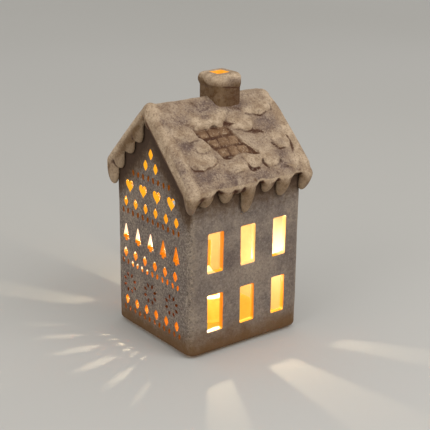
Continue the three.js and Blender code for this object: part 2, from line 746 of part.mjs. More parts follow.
function batteryCap() {
  const middle = [0, CAP_OFFSET];
  const ringBore = CAP_RADIUS - CAP_RING;
  const disc = prism(circle(CAP_RADIUS, ROUND_SIDES, ...middle), UPRIGHT, CAP_RECESS, lugTop);
  const well = prism(circle(ringBore, ROUND_SIDES, ...middle), UPRIGHT, BASE_THICKNESS, lugTop + OVERCUT);
  const lugs = Array.from({ length: LUG_COUNT }, (_, lug) => {
    const outer = CAP_RADIUS + LUG_REACH - SEAT_GAP;
    const from = lugDirection(lug) - HALF * radians(LUG_ANGLE);
    const to = lugDirection(lug) + HALF * radians(LUG_ANGLE);
    const at = (r, angle) => [r * Math.cos(angle), CAP_OFFSET + r * Math.sin(angle)];
    const corners = [at(ringBore, from), at(outer, from), at(outer, to), at(ringBore, to)];
    return prism(polygon(corners), UPRIGHT, lugBottom, lugTop);
  });
  const coinSlot = box(
    [-HALF * COIN_SLOT_LENGTH, CAP_OFFSET - HALF * COIN_SLOT_WIDTH, 0],
    [HALF * COIN_SLOT_LENGTH, CAP_OFFSET + HALF * COIN_SLOT_WIDTH, CAP_RECESS + COIN_SLOT_DEPTH],
  );
  return cut(join([disc, ...lugs]), [well, coinSlot]);
}

function switchSlider() {
  const knob = box(
    [-HALF * KNOB_LENGTH, -SWITCH_REACH - HALF * KNOB_WIDTH, KNOB_RECESS],
    [HALF * KNOB_LENGTH, -SWITCH_REACH + HALF * KNOB_WIDTH, lugTop],
  );
  const tongue = box(
    [-HALF * SLIDER_LENGTH, -SWITCH_REACH - HALF * SLIDER_WIDTH, lugBottom],
    [HALF * SLIDER_LENGTH, -SWITCH_REACH + HALF * SLIDER_WIDTH, lugBottom + SLIDER_HEIGHT],
  );
  return join([knob, tongue]);
}

// A closed teardrop, given as shares of its height and of its radius.
const FLAME_PROFILE = [
  [0.19, 1],
  [0.42, 0.97],
  [0.65, 0.77],
  [0.84, 0.47],
  [0.95, 0.2],
];

function flameTip() {
  const hollow = FLAME_HEIGHT - FLAME_WALL;
  const bore = FLAME_RADIUS - FLAME_WALL;
  const outside = FLAME_PROFILE.map(([h, r]) => [r * FLAME_RADIUS, flameFoot + h * FLAME_HEIGHT]);
  const inside = FLAME_PROFILE.map(([h, r]) => [r * bore, flameFoot + h * hollow]);
  return turned(
    [
      [FLAME_FOOT - FLAME_WALL, flameFoot],
      [FLAME_FOOT, flameFoot],
      ...outside,
      [0, flameFoot + FLAME_HEIGHT],
      [0, flameFoot + hollow],
      ...inside.reverse(),
      [FLAME_FOOT - FLAME_WALL, flameFoot],
    ],
    SMALL_SIDES,
  );
}

function ledLens() {
  const foot = stemTop + SEAT_GAP;
  const dome = foot + LED_HEIGHT - LED_RADIUS;
  const profile = [
    [0, foot],
    [LED_FLANGE, foot],
    [LED_FLANGE, foot + LED_FLANGE_HEIGHT],
    [LED_RADIUS, foot + LED_FLANGE_HEIGHT],
  ];
  for (let step = 0; step <= CORNER_STEPS; step++) {
    const angle = (TURN / 4) * (step / CORNER_STEPS);
    const radius = step === CORNER_STEPS ? 0 : LED_RADIUS * Math.cos(angle);
    profile.push([radius, dome + LED_RADIUS * Math.sin(angle)]);
  }
  return turned(profile, SMALL_SIDES);
}

function ledLead(x, bottom) {
  const half = HALF * LEAD_SIDE;
  return box([x - half, -half, bottom], [x + half, half, stemTop]);
}

function coinCell() {
  const step = cellTop - CELL_STEP;
  const cell = turned([
    [0, cellBottom],
    [CELL_RADIUS, cellBottom],
    [CELL_RADIUS, step],
    [CELL_CAP_RADIUS, step],
    [CELL_CAP_RADIUS, cellTop],
    [0, cellTop],
  ]);
  return cell.translate([0, CAP_OFFSET, 0]);
}

// A leaf that stands on the cell with its two feet and is raised in the middle, under the lamp's lead.
function negativeContact() {
  const half = HALF * SPRING_LENGTH;
  const knee = HALF * half;
  const low = springBottom;
  const high = springBottom + SPRING_RISE;
  const outline = polygon([
    [-half, low],
    [-knee, low],
    [-LEAD_SPACING, high],
    [LEAD_SPACING, high],
    [knee, low],
    [half, low],
    [half, low + STRIP],
    [knee, low + STRIP],
    [LEAD_SPACING, high + STRIP],
    [-LEAD_SPACING, high + STRIP],
    [-knee, low + STRIP],
    [-half, low + STRIP],
  ]);
  return prism(outline, ALONG_Y, -HALF * STRIP_WIDTH, HALF * STRIP_WIDTH);
}

// A strip that rises from the switch and reaches over the cell to the lamp's other lead.
function positiveContact() {
  const bottom = lugTop + SEAT_GAP;
  const y = -SWITCH_REACH;
  const outline = polygon([
    [y, bottom],
    [y + STRIP, bottom],
    [y + STRIP, feederBottom],
    [LEAD_SIDE, feederBottom],
    [LEAD_SIDE, feederBottom + STRIP],
    [y, feederBottom + STRIP],
  ]);
  const nearEdge = HALF * LEAD_SPACING - LEAD_SIDE;
  return prism(outline, ALONG_X, nearEdge, nearEdge + STRIP_WIDTH);
}

function addTealight(group) {
  const leadX = HALF * LEAD_SPACING;
  addPiece(group, "tealight_case", tealightCase(), ivoryPlastic);
  addPiece(group, "tealight_base", tealightBase(), ivoryPlastic);
  addPiece(group, "flame_tip", flameTip(), frostedPlastic);
  addPiece(group, "led_lens", ledLens(), clearResin);
  addPiece(group, "led_lead_negative", ledLead(-leadX, springTop + SEAT_GAP), tinPlate);
  addPiece(group, "led_lead_positive", ledLead(leadX, feederBottom + STRIP + SEAT_GAP), tinPlate);
  addPiece(group, "coin_cell", coinCell(), tinPlate);
  addPiece(group, "negative_contact", negativeContact(), tinPlate);
  addPiece(group, "positive_contact", positiveContact(), tinPlate);
  addPiece(group, "switch_slider", switchSlider(), darkPlastic);
  addPiece(group, "battery_cap", batteryCap(), ivoryPlastic);
}

// The whole lantern
const house = new THREE.Group();
const roof = new THREE.Group();
const tealight = new THREE.Group();
addWalls(house);
addFloorAndPads(house);
addRoof(roof);
addTealight(tealight);
tealight.position.z = floorTop + SEAT_GAP;
house.add(roof, tealight);

export default house;
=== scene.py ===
# %% [markdown]
# # A ceramic christmas house with a light inside
#
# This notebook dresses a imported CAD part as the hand-built ceramic house that it stands for: pierced
# clay walls, a roof of thick modelled snow with a chimney, and a small battery light that glows inside.
# The shapes are written in millimetres and turned into metres as a mesh is made, because the frame is in
# metres. The studio lamps and the steps in a finish are given in metres at once. The origin is on the
# table under the middle of the house, the front wall faces -Y and the pierced gable faces -X.

# %% Load the frame
import math
import random

import bmesh
import bpy
import numpy as np
import openvdb
from mathutils import Matrix, Vector, noise
from mathutils.geometry import delaunay_2d_cdt


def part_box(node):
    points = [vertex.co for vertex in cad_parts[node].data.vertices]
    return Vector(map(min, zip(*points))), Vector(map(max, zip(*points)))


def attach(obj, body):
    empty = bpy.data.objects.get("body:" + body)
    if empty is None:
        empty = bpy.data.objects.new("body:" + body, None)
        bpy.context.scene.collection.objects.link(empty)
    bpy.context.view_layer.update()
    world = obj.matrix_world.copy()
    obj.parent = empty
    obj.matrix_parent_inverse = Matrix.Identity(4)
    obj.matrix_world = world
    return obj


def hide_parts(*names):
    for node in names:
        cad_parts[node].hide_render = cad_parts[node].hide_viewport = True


MM = 0.001
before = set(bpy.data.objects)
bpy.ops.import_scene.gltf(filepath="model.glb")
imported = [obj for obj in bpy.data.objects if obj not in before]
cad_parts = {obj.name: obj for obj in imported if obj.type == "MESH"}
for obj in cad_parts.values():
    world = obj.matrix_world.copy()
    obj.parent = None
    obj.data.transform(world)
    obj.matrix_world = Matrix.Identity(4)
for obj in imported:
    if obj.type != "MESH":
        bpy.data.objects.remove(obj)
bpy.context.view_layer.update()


def in_mm(values):
    return [round(v / MM, 1) for v in values]


def placed(name, data):
    """A new object for this data, in the scene."""
    made = bpy.data.objects.new(name, data)
    bpy.context.scene.collection.objects.link(made)
    return made


# %% [markdown]
# ## The camera
#
# The house is seen a little from above, with its pierced gable on the left and its window wall on the
# right. A camera can be aimed with a constraint, but here its three axes are worked out from its turn,
# its tilt and its small roll, and written straight into its matrix, so nothing has to be evaluated first.

# %% Place the camera
CAMERA_PLACE = Vector((-473.3, -620.5, 356.0)) * MM
CAMERA_TURN = math.radians(37.73)
CAMERA_TILT = math.radians(18.87)
CAMERA_ROLL = math.radians(0.63)
LENS = 90.1
SENSOR = 36.0

forward = Vector(
    (
        math.sin(CAMERA_TURN) * math.cos(CAMERA_TILT),
        math.cos(CAMERA_TURN) * math.cos(CAMERA_TILT),
        -math.sin(CAMERA_TILT),
    )
)
level = Vector((math.cos(CAMERA_TURN), -math.sin(CAMERA_TURN), 0.0))
upright = level.cross(forward)
right = math.cos(CAMERA_ROLL) * level + math.sin(CAMERA_ROLL) * upright
upward = math.cos(CAMERA_ROLL) * upright - math.sin(CAMERA_ROLL) * level
camera_axes = Matrix((right, upward, -forward)).transposed()

camera_data = bpy.data.cameras.new("camera")
camera_data.lens = LENS
camera_data.sensor_width = SENSOR
camera_data.clip_start = 0.01
camera = placed("camera", camera_data)
camera.matrix_world = Matrix.Translation(CAMERA_PLACE) @ camera_axes.to_4x4()
bpy.context.scene.camera = camera
print("camera at", in_mm(CAMERA_PLACE), "mm, lens", LENS)

# %% [markdown]
# ## Shader maths as plain sums
#
# A finish is a small tree of nodes. Wiring each node by hand hides the idea, so two classes take that
# over. A `Wire` is one output that can be added, multiplied and so on like a number, and each sum adds a
# Math node.


# %% A wire
class Wire:
    """One output of a finish's nodes, for use in sums."""

    def __init__(self, finish, socket):
        self.finish = finish
        self.socket = socket

    def sum_with(self, operation, first, second):
        return self.finish.node("ShaderNodeMath", {"operation": operation}, {0: first, 1: second})

    def __add__(self, other):
        return self.sum_with("ADD", self, other)

    def __sub__(self, other):
        return self.sum_with("SUBTRACT", self, other)

    def __rsub__(self, other):
        return self.sum_with("SUBTRACT", other, self)

    def __mul__(self, other):
        return self.sum_with("MULTIPLY", self, other)

    def __abs__(self):
        return self.sum_with("ABSOLUTE", self, 0.0)

    __radd__ = __add__
    __rmul__ = __mul__


print("wires ready")

# %% [markdown]
# ### One material
#
# A `Finish` is one material with its shader, and its `node` method makes any other node: its settings are
# set first, and then its sockets get their values or links. A glaze is built up as a potter does it, coat
# over coat, so a finish also remembers the coats that it has so far.


# %% A finish
class Finish:
    """One material: a Principled shader and the nodes that feed it."""

    def __init__(self, name, **fixed):
        self.material = bpy.data.materials.new(name)
        self.material.use_nodes = True
        self.tree = self.material.node_tree
        self.shader = next(n for n in self.tree.nodes if n.type == "BSDF_PRINCIPLED")
        self.coats = None
        for socket, value in fixed.items():
            self.shader.inputs[socket.replace("_", " ")].default_value = value

    def node(self, kind, settings, sockets, output=0):
        made = self.tree.nodes.new(kind)
        for key, value in settings.items():
            setattr(made, key, value)
        for key, value in sockets.items():
            if isinstance(value, Wire):
                self.tree.links.new(value.socket, made.inputs[key])
            else:
                made.inputs[key].default_value = value
        return Wire(self, made.outputs[output])

    def feed(self, socket, wire):
        self.tree.links.new(wire.socket, self.shader.inputs[socket])

    def place(self):
        return self.node("ShaderNodeTexCoord", {}, {}, "Object")

    def axis(self, letter):
        return self.node("ShaderNodeSeparateXYZ", {}, {0: self.place()}, letter)

    def distance(self, spot):
        """How far a place is from a spot given in metres."""
        ends = {0: self.place(), 1: spot}
        return self.node("ShaderNodeVectorMath", {"operation": "DISTANCE"}, ends, "Value")

    def painted(self, attribute):
        return self.node("ShaderNodeAttribute", {"attribute_name": attribute}, {}, "Fac")

    def grain(self, size, detail=3.0, rough=0.55):
        """Noise whose lumps are about this many millimetres across, from 0 to 1."""
        sockets = {"Vector": self.place(), "Scale": 1.0 / (size * MM), "Detail": detail, "Roughness": rough}
        return self.node("ShaderNodeTexNoise", {}, sockets, "Fac")

    def ramp(self, value, low, high):
        """0 below low, 1 above high, and a soft step between them."""
        settings = {"interpolation_type": "SMOOTHSTEP"}
        return self.node("ShaderNodeMapRange", settings, {"Value": value, 1: low, 2: high})

    def mix(self, one, other, share):
        return self.node("ShaderNodeMix", {"data_type": "RGBA"}, {0: share, 6: one, 7: other}, 2)

    def coat(self, red, green, blue, share):
        """Lays a colour over the coats so far, as thickly as its share says."""
        self.coats = self.mix(self.coats, colour(red, green, blue), share)

    def bump(self, height, depth):
        """Relief of this many millimetres on the normal."""
        sockets = {"Strength": 1.0, "Distance": depth * MM, "Height": height}
        self.feed("Normal", self.node("ShaderNodeBump", {}, sockets))


def colour(red, green, blue):
    """A colour as a picture shows it, 0 to 255, as the linear colour that a shader takes."""
    shares = [v / 255 for v in (red, green, blue)]
    return (*(v / 12.92 if v <= 0.04045 else ((v + 0.055) / 1.055) ** 2.4 for v in shares), 1.0)


print("finishes ready")

# %% [markdown]
# ## Floor and light
#
# The house stands on a plain pale floor in soft studio light: an even pale surrounding, a broad lamp
# from the front and a weaker one from the left. The lamps are kept at a level at which a colour renders
# about as it is written, so that the clay needs no correction for them.


# %% Build the stage
def object_from(name, points, faces):
    """A new mesh object with smooth faces, from points in millimetres."""
    mesh = bpy.data.meshes.new(name)
    mesh.from_pydata([Vector(p) * MM for p in points], [], faces)
    mesh.validate()
    mesh.polygons.foreach_set("use_smooth", [True] * len(mesh.polygons))
    return placed(name, mesh)


FLOOR_REACH = 6000.0
FLOOR_SIDES = 48
floor_turns = [i * math.tau / FLOOR_SIDES for i in range(FLOOR_SIDES)]
floor_points = [(FLOOR_REACH * math.cos(a), FLOOR_REACH * math.sin(a), 0.0) for a in floor_turns]
floor = object_from("studio_floor", floor_points, [list(range(FLOOR_SIDES))])
floor_finish = Finish("pale_floor", Roughness=0.9)
floor_shade = floor_finish.ramp(floor_finish.grain(900.0, 1.0), 0.2, 0.8)
floor_colour = floor_finish.mix(colour(196, 193, 187), colour(201, 198, 193), floor_shade)
floor_finish.feed("Base Color", floor_colour)
floor.data.materials.append(floor_finish.material)
print("floor of", FLOOR_REACH / 1000, "m all round")

# %% Light the stage
SKY_STRENGTH = 0.78
LAMPS_AIM = Vector((0.0, 0.0, 0.09))
LAMP_SIZE = 0.9
world = bpy.data.worlds.new("studio")
world.use_nodes = True
sky = next(n for n in world.node_tree.nodes if n.type == "BACKGROUND")
sky.inputs["Color"].default_value = colour(232, 232, 230)
sky.inputs["Strength"].default_value = SKY_STRENGTH
bpy.context.scene.world = world


def broad_lamp(name, place, watts):
    data = bpy.data.lights.new(name, "AREA")
    data.size = LAMP_SIZE
    data.energy = watts
    lamp = placed(name, data)
    lamp.location = place
    lamp.rotation_euler = (LAMPS_AIM - Vector(place)).to_track_quat("-Z", "Y").to_euler()


broad_lamp("key_lamp", (0.35, -1.05, 1.15), 8.0)
broad_lamp("fill_lamp", (-1.3, -0.2, 0.8), 3.4)
bpy.context.scene.view_settings.view_transform = "Standard"
print("two broad lamps and a sky of strength", SKY_STRENGTH)

# %% [markdown]
# ## The walls, drawn flat
#
# The real walls are slabs of clay, cut with a template while they are soft and bent or luted into a
# ring. The mesh follows that: the whole ring is drawn flat, as one long strip with its windows and
# cut-outs, and wrapped round the house afterwards. A boolean cut into a box would leave long thin faces
# and hard edges, while a flat drawing can give each opening its own soft lip.

# %% The ring that the strip is wrapped round
HALF_LENGTH = 52.5
HALF_WIDTH = 49.0
CORNER = 8.0
WALL = 4.5
FOOT = 1.8
FOOT_ROUND = 3.0
GABLE_APEX = 173.15
PITCH = math.radians(44.5)
SLOPE = math.tan(PITCH)

GABLE_RUN = 2 * (HALF_WIDTH - CORNER)
LONG_RUN = 2 * (HALF_LENGTH - CORNER)
ARC = CORNER * math.pi / 2
STRETCHES = [GABLE_RUN / 2, ARC, LONG_RUN, ARC, GABLE_RUN, ARC, LONG_RUN, ARC, GABLE_RUN / 2]
STARTS = np.concatenate([[0.0], np.cumsum(STRETCHES)])
RING = STARTS[-1]
STRAIGHTS = {
    0: ((HALF_LENGTH, 0.0), (0, 1), (1, 0)),
    2: ((HALF_LENGTH - CORNER, HALF_WIDTH), (-1, 0), (0, 1)),
    4: ((-HALF_LENGTH, HALF_WIDTH - CORNER), (0, -1), (-1, 0)),
    6: ((CORNER - HALF_LENGTH, -HALF_WIDTH), (1, 0), (0, -1)),
    8: ((HALF_LENGTH, CORNER - HALF_WIDTH), (0, 1), (1, 0)),
}
CORNERS = {1: (1, 1), 3: (-1, 1), 5: (-1, -1), 7: (1, -1)}


def on_ring(run):
    """Places on the outside of the ring, and the way out there, for runs along it from the plain gable."""
    run = np.asarray(run, float)
    stretch = np.clip(np.searchsorted(STARTS, run, "right") - 1, 0, 8)
    ahead = (run - STARTS[stretch])[..., None]
    place = np.zeros((*run.shape, 2))
    out = np.zeros((*run.shape, 2))
    for number, (start, way, facing) in STRAIGHTS.items():
        here = stretch == number
        place[here] = np.array(start) + np.array(way) * ahead[here]
        out[here] = facing
    for number, sides in CORNERS.items():
        here = stretch == number
        angle = (number - 1) * math.pi / 4 + ahead[here] / CORNER
        out[here] = np.concatenate([np.cos(angle), np.sin(angle)], -1)
        centre = np.array(sides) * (HALF_LENGTH - CORNER, HALF_WIDTH - CORNER)
        place[here] = centre + CORNER * out[here]
    return place, out


def roof_line(run, depth=0.0):
    """Height at which the roof cuts off the wall, at a depth in from its outside."""
    place, out = on_ring(run)
    return GABLE_APEX - SLOPE * np.abs(place[..., 1] - depth * out[..., 1])


print("ring of", round(RING, 1), "mm")

# %% [markdown]
# ### Cutters
#
# Six windows stand in each long wall. The gable has rows of slits, diamonds, hearts, trees and flowers,
# a common folk pattern that is pressed out with small cutters. Each cutter is a polygon whose corners
# are cut back twice, which rounds them as clay rounds under a wet finger. A heart could be two arcs and
# two lines, but one formula gives its whole outline, with a blunt notch that leaves room for the lip.


# %% Draw the cutters
def softened(outline, share, times=2):
    """A polygon with its corners cut back, as often as told."""
    points = np.array(outline, float)
    for _ in range(times):
        ahead = np.roll(points, -1, 0)
        near = points + share * (ahead - points)
        far = ahead + share * (points - ahead)
        points = np.stack([near, far], 1).reshape(-1, 2)
    return points


def resampled(points, step):
    """A closed outline with no stretch longer than step."""
    rows = []
    for start, end in zip(points, np.roll(points, -1, 0)):
        count = max(1, math.ceil(np.linalg.norm(end - start) / step))
        shares = np.arange(count)[:, None] / count
        rows.append(start + shares * (end - start))
    return np.concatenate(rows)


def lozenge(width, height):
    return [(0, -height / 2), (width / 2, 0), (0, height / 2), (-width / 2, 0)]


def heart():
    turn = np.linspace(0, math.tau, 40, endpoint=False)[3:-2]
    across = 4.8 * np.sin(turn) ** 3
    along = 4.45 * np.cos(turn) - 1.75 * np.cos(2 * turn) - 0.7 * np.cos(3 * turn) - 0.35 * np.cos(4 * turn)
    lobes = np.stack([across, along + 0.6], -1)
    return np.concatenate([[(0.42, 2.5)], lobes, [(-0.42, 2.5)]])[::-1]


def window(width, height):
    wide = width / 2
    tall = height / 2
    return softened([(-wide, -tall), (wide, -tall), (wide, tall), (-wide, tall)], 0.035)


TREE_LINE = [(-1.5, -7.4), (1.5, -7.4), (1.5, -5.6), (4.2, -5.6), (0, 7.8), (-4.2, -5.6), (-1.5, -5.6)]
SLIT_LINE = [(0, -2.5), (1.2, -1.3), (1.2, 1.3), (0, 2.5), (-1.2, 1.3), (-1.2, -1.3)]
CUTTER_STEP = 1.3
SLIT = resampled(softened(SLIT_LINE, 0.2), CUTTER_STEP)
DIAMOND = resampled(softened(lozenge(6.0, 9.0), 0.16), CUTTER_STEP)
PETAL = resampled(softened(lozenge(2.9, 4.6), 0.18), CUTTER_STEP)
TREE = resampled(softened(TREE_LINE, 0.1), CUTTER_STEP)
HEART = resampled(heart(), CUTTER_STEP)
print("cutters of", [len(cutter) for cutter in (SLIT, DIAMOND, PETAL, TREE, HEART)], "points")

# %% [markdown]
# ### Openings
#
# Every opening is set a touch out of true, because it is pressed by hand, and each row of the gable sits
# a little aside. The lamp inside lights the sides of the openings: `lit` says how much, and in the rows
# near the lamp's height `white` says from which share of its height, -1 at the foot to 1 at the top, an
# opening's sides catch the lamp itself. Light bounced about in such a small room would need far more
# samples than a render has, so these sides get a glow of their own.

# %% Rows of cut-outs
SLIT_PITCH = 2 * HALF_WIDTH / 15
LAMP_ROW = 52.7
DIAMOND_ROW = 60.3
TREE_ROW = 77.4
GABLE_ROWS = [
    (SLIT, 12, SLIT_PITCH, 14.4, 0.6),
    (DIAMOND, 6, 2 * SLIT_PITCH, 21.4, 1.2),
    (SLIT, 12, SLIT_PITCH, LAMP_ROW, 2.7),
    (DIAMOND, 6, 2 * SLIT_PITCH, DIAMOND_ROW, 2.6),
    (TREE, 5, 16.4, TREE_ROW, 1.7),
    (SLIT, 12, SLIT_PITCH, 94.4, 1.6),
    (DIAMOND, 6, 2 * SLIT_PITCH, 102.0, 1.2),
    (HEART, 4, 17.9, 114.7, 1.6),
    (SLIT, 8, SLIT_PITCH, 126.4, 0.4),
    (DIAMOND, 2, 2 * SLIT_PITCH, 135.8, 0.7),
    (DIAMOND, 1, 2 * SLIT_PITCH, 145.6, 0.5),
]
NO_WHITE = 9.0
# Where the painted highlights of the lamp start on the sides of these openings, row by row.
WHITE_ABOVE = {
    LAMP_ROW: {6: 0.0, 7: -0.3, 8: -0.1, 9: -0.2},
    DIAMOND_ROW: {0: 0.9, 1: 0.6, 2: 0.5, 3: 0.2, 4: 0.1, 5: 0.0},
    TREE_ROW: {2: -0.3, 3: -0.3, 4: -0.3},
}
print(len(GABLE_ROWS), "rows of cut-outs in the gable")

# %% Press the openings
SLIT_SLANT = math.radians(12)
CUTTER_SLACK = 0.22
PETAL_SLACK = 0.15
WINDOW_SLACK = 0.12
SLIT_LIT = 0.3
LAMP_ROW_LIT = 0.7
LAMP_ROW_COUNT = 10
CUTTER_LIT = 0.9
PETAL_LIT = 0.1
WINDOW_LIT = 1.0
CUTTER_LIP = 0.3
WINDOW_LIP = 0.35
FLOWER_PITCH = 27.7
FLOWER_HEIGHT = 36.0
FLOWER_RADIUS = 6.8
FLOWERS_ASIDE = 2.3
PETALS = 8
WINDOW_PITCH = 30.0
WINDOW_ROWS = [(33.15, 29.3), (80.2, 30.4)]
WINDOW_WIDTHS = {-1: 14.2, 0: 13.3, 1: 12.6}
WINDOW_STEP = 1.6
GABLE_MIDDLE = STARTS[4] + GABLE_RUN / 2
BACK_MIDDLE = STARTS[2] + LONG_RUN / 2
FRONT_MIDDLE = STARTS[6] + LONG_RUN / 2
hand = random.Random(11)
openings = []


def press(outline, run, height, angle, slack, lip, lit, white=NO_WHITE):
    """Adds an opening at a place on the strip, out of true by some slack."""
    angle += math.radians(hand.uniform(-6, 6)) * slack
    turn = np.array([[math.cos(angle), -math.sin(angle)], [math.sin(angle), math.cos(angle)]])
    middle = np.array([run, height]) + slack * np.array([hand.uniform(-1, 1), hand.uniform(-1, 1)])
    openings.append((outline @ turn.T + middle, lip, lit, white))


for cutter, count, pitch, height, aside in GABLE_ROWS:
    for number in range(count):
        across = (number - (count - 1) / 2) * pitch + aside
        slant = 0.0
        lit = CUTTER_LIT
        if cutter is SLIT:
            slant = SLIT_SLANT if number % 2 else -SLIT_SLANT
            lit = LAMP_ROW_LIT if height == LAMP_ROW and number < LAMP_ROW_COUNT else SLIT_LIT
        white = WHITE_ABOVE.get(height, {}).get(number, NO_WHITE)
        press(cutter, GABLE_MIDDLE - across, height, slant, CUTTER_SLACK, CUTTER_LIP, lit, white)
for number in range(3):
    for leaf in range(PETALS):
        angle = math.tau * (leaf + 0.5) / PETALS
        across = (number - 1) * FLOWER_PITCH + FLOWERS_ASIDE + FLOWER_RADIUS * math.cos(angle)
        height = FLOWER_HEIGHT + FLOWER_RADIUS * math.sin(angle)
        turn = math.pi / 2 - angle
        press(PETAL, GABLE_MIDDLE - across, height, turn, PETAL_SLACK, CUTTER_LIP, PETAL_LIT)
for middle in (BACK_MIDDLE, FRONT_MIDDLE):
    for column in (-1, 0, 1):
        for height, tall in WINDOW_ROWS:
            frame_line = resampled(window(WINDOW_WIDTHS[column], tall), WINDOW_STEP)
            run = middle + column * WINDOW_PITCH
            press(frame_line, run, height, 0.0, WINDOW_SLACK, WINDOW_LIP, WINDOW_LIT)
print(len(openings), "openings")

# %% [markdown]
# ### One strip between the openings
#
# A constrained Delaunay triangulation fills the strip: it takes the outlines as fixed edges and a loose
# grid of points between them, closer together round the corners and the foot, where the clay bends. The
# faces that fall inside an opening are dropped afterwards.


# %% Lay out the strip
def grown(outline, reach):
    """An outline moved outwards by a reach."""
    ahead = np.roll(outline, -1, 0) - outline
    behind = outline - np.roll(outline, 1, 0)
    normals = []
    for way in (ahead, behind):
        length = np.linalg.norm(way, axis=1, keepdims=True)
        normals.append(np.stack([way[:, 1], -way[:, 0]], -1) / length)
    middle = normals[0] + normals[1]
    middle /= np.linalg.norm(middle, axis=1, keepdims=True)
    lengthened = np.clip(np.sum(middle * normals[0], 1, keepdims=True), 0.6, 1.0)
    return outline + reach * middle / lengthened


def inside_outline(points, outline):
    """Which points lie inside a closed outline."""
    found = np.zeros(len(points), bool)
    for (x0, y0), (x1, y1) in zip(outline, np.roll(outline, -1, 0)):
        crosses = (y0 > points[:, 1]) != (y1 > points[:, 1])
        with np.errstate(divide="ignore", invalid="ignore"):
            at = x0 + (points[:, 1] - y0) * (x1 - x0) / (y1 - y0)
        found ^= crosses & (points[:, 0] < at)
    return found


GRID = 2.6
ARC_STEP = 1.05
columns = []
for length, start in zip(STRETCHES, STARTS):
    step = ARC_STEP if abs(length - ARC) < 1e-6 else GRID
    count = round(length / step)
    columns.append(start + length * np.arange(count) / count)
columns = np.concatenate([*columns, [RING]])
foot_rows = FOOT + FOOT_ROUND * (1 - np.cos(np.linspace(0.25, 1.0, 4) * math.pi / 2))
rows = np.concatenate([foot_rows, np.arange(FOOT + FOOT_ROUND + GRID, GABLE_APEX, GRID)])
strip = []
edges = []


def add_outline(points):
    """Adds a closed line of fixed edges, and returns the numbers of its points."""
    first = len(strip)
    strip.extend(map(tuple, points))
    last = len(strip)
    edges.extend((i, i + 1) for i in range(first, last - 1))
    edges.append((last - 1, first))
    return list(range(first, last))


seam_heights = [h for h in rows if h < roof_line(0.0) - 1.5]
foot_line = [(run, FOOT) for run in columns]
seam = [(RING, h) for h in seam_heights]
top_line = [(run, float(roof_line(run))) for run in columns[::-1]]
other_seam = [(0.0, h) for h in seam_heights[::-1]]
add_outline([*foot_line, *seam, *top_line, *other_seam])
loops = [add_outline(grown(outline, lip)) for outline, lip, *_ in openings]
print(len(strip), "points on", len(loops) + 1, "fixed lines")

# %% Fill the strip
NEAR_OPENING = 2.0
GRID_CLEARANCE = 0.7
TOP_CLEARANCE = 1.3
TRIANGLES_WITHIN = 1
grid_run, grid_height = np.meshgrid(columns[1:-1], rows, indexing="ij")
grid = np.stack([grid_run.ravel(), grid_height.ravel()], -1)
grid = grid[grid[:, 1] < roof_line(grid[:, 0]) - TOP_CLEARANCE]
for outline, lip, *_ in openings:
    low = outline.min(0) - NEAR_OPENING
    high = outline.max(0) + NEAR_OPENING
    near = np.flatnonzero(np.all((grid > low) & (grid < high), 1))
    grid = np.delete(grid, near[inside_outline(grid[near], grown(outline, lip + GRID_CLEARANCE))], 0)
strip.extend(map(tuple, grid))
filled = delaunay_2d_cdt([Vector(p) for p in strip], edges, [], TRIANGLES_WITHIN, 1e-7)
flat_points = np.array([tuple(v) for v in filled[0]])
new_number = {old: new for new, olds in enumerate(filled[3]) for old in olds}
flat_faces = np.array(filled[2])
middles = flat_points[flat_faces].mean(1)
cut_out = np.zeros(len(flat_faces), bool)
for outline, lip, *_ in openings:
    cut_out |= inside_outline(middles, grown(outline, lip))
flat_faces = flat_faces[~cut_out].tolist()
print(len(flat_points), "points and", len(flat_faces), "faces in the flat strip")

# %% [markdown]
# ### Wrapped round the house
#
# The same triangles serve for the outside and, turned over, for the inside. The strip keeps a faint
# waviness, as slabs that were rolled and smoothed by hand do, and its foot tucks in under the edge. Each
# layer of points also carries paint: where it is inside, where it is the side of an opening, and how the
# lamp lights it there.


# %% Wrap the two faces
LIFT_FROM = 100.0
CALM_TOP = 12.0


def waviness(point, size, seed):
    return noise.noise(Vector(point) / size + Vector((seed, 0, 0)))


def wrapped(flat, depth):
    """Points of the strip at a depth under its outside, in the house's own frame."""
    run, height = flat[:, 0], flat[:, 1]
    place, out = on_ring(run)
    top = roof_line(run)
    lift = (roof_line(run, depth) - top) * np.clip((height - LIFT_FROM) / (top - LIFT_FROM), 0, 1)
    tuck = np.clip(FOOT + FOOT_ROUND - height, 0, FOOT_ROUND)
    rounded = FOOT_ROUND - np.sqrt(FOOT_ROUND**2 - tuck**2)
    level = np.concatenate([place - out * np.maximum(depth, rounded)[:, None], height[:, None]], 1)
    wave = np.array([0.32 * waviness(p, 26, 3) + 0.14 * waviness(p, 9, 8) for p in level])
    wave *= np.clip((top - height) / CALM_TOP, 0, 1)
    level[:, :2] += out * wave[:, None]
    level[:, 2] += lift
    return level


wall_points = []
wall_faces = []
wall_paint = {"inside": [], "jamb": [], "lit": [], "pale": []}


def add_layer(flat, depth, **shares):
    """Adds the strip's points at a depth with their paint, and returns the first one's number."""
    first = len(wall_points)
    wall_points.extend(wrapped(flat, np.broadcast_to(depth, len(flat))))
    for name, values in wall_paint.items():
        values.extend(np.broadcast_to(shares.get(name, 0.0), len(flat)))
    return first


outer = add_layer(flat_points, 0.0)
inner = add_layer(flat_points, WALL, inside=1.0)
wall_faces += [[outer + i for i in face] for face in flat_faces]
wall_faces += [[inner + i for i in reversed(face)] for face in flat_faces]
print(len(wall_faces), "faces outside and inside")

# %% [markdown]
# ### Sleeves with rounded lips
#
# Each opening gets a sleeve of quads between the two faces, with a rounded lip at both ends. Its sides
# glow orange where only the room lights them, pale gold in the higher rows and where a window's side
# faces the lamp, and white where the lamp itself shines on them.

# %% Sleeve the openings
# The painted lamplight on the sides grows paler with height, towards the lamp, and white in painted
# highlights.
WHITE = 1.6
UPPER_WINDOWS = 70
PALE_HEIGHTS = (60, 80, 100, 115)
PALE_SHARES = (0.0, 0.08, 0.28, 0.45)


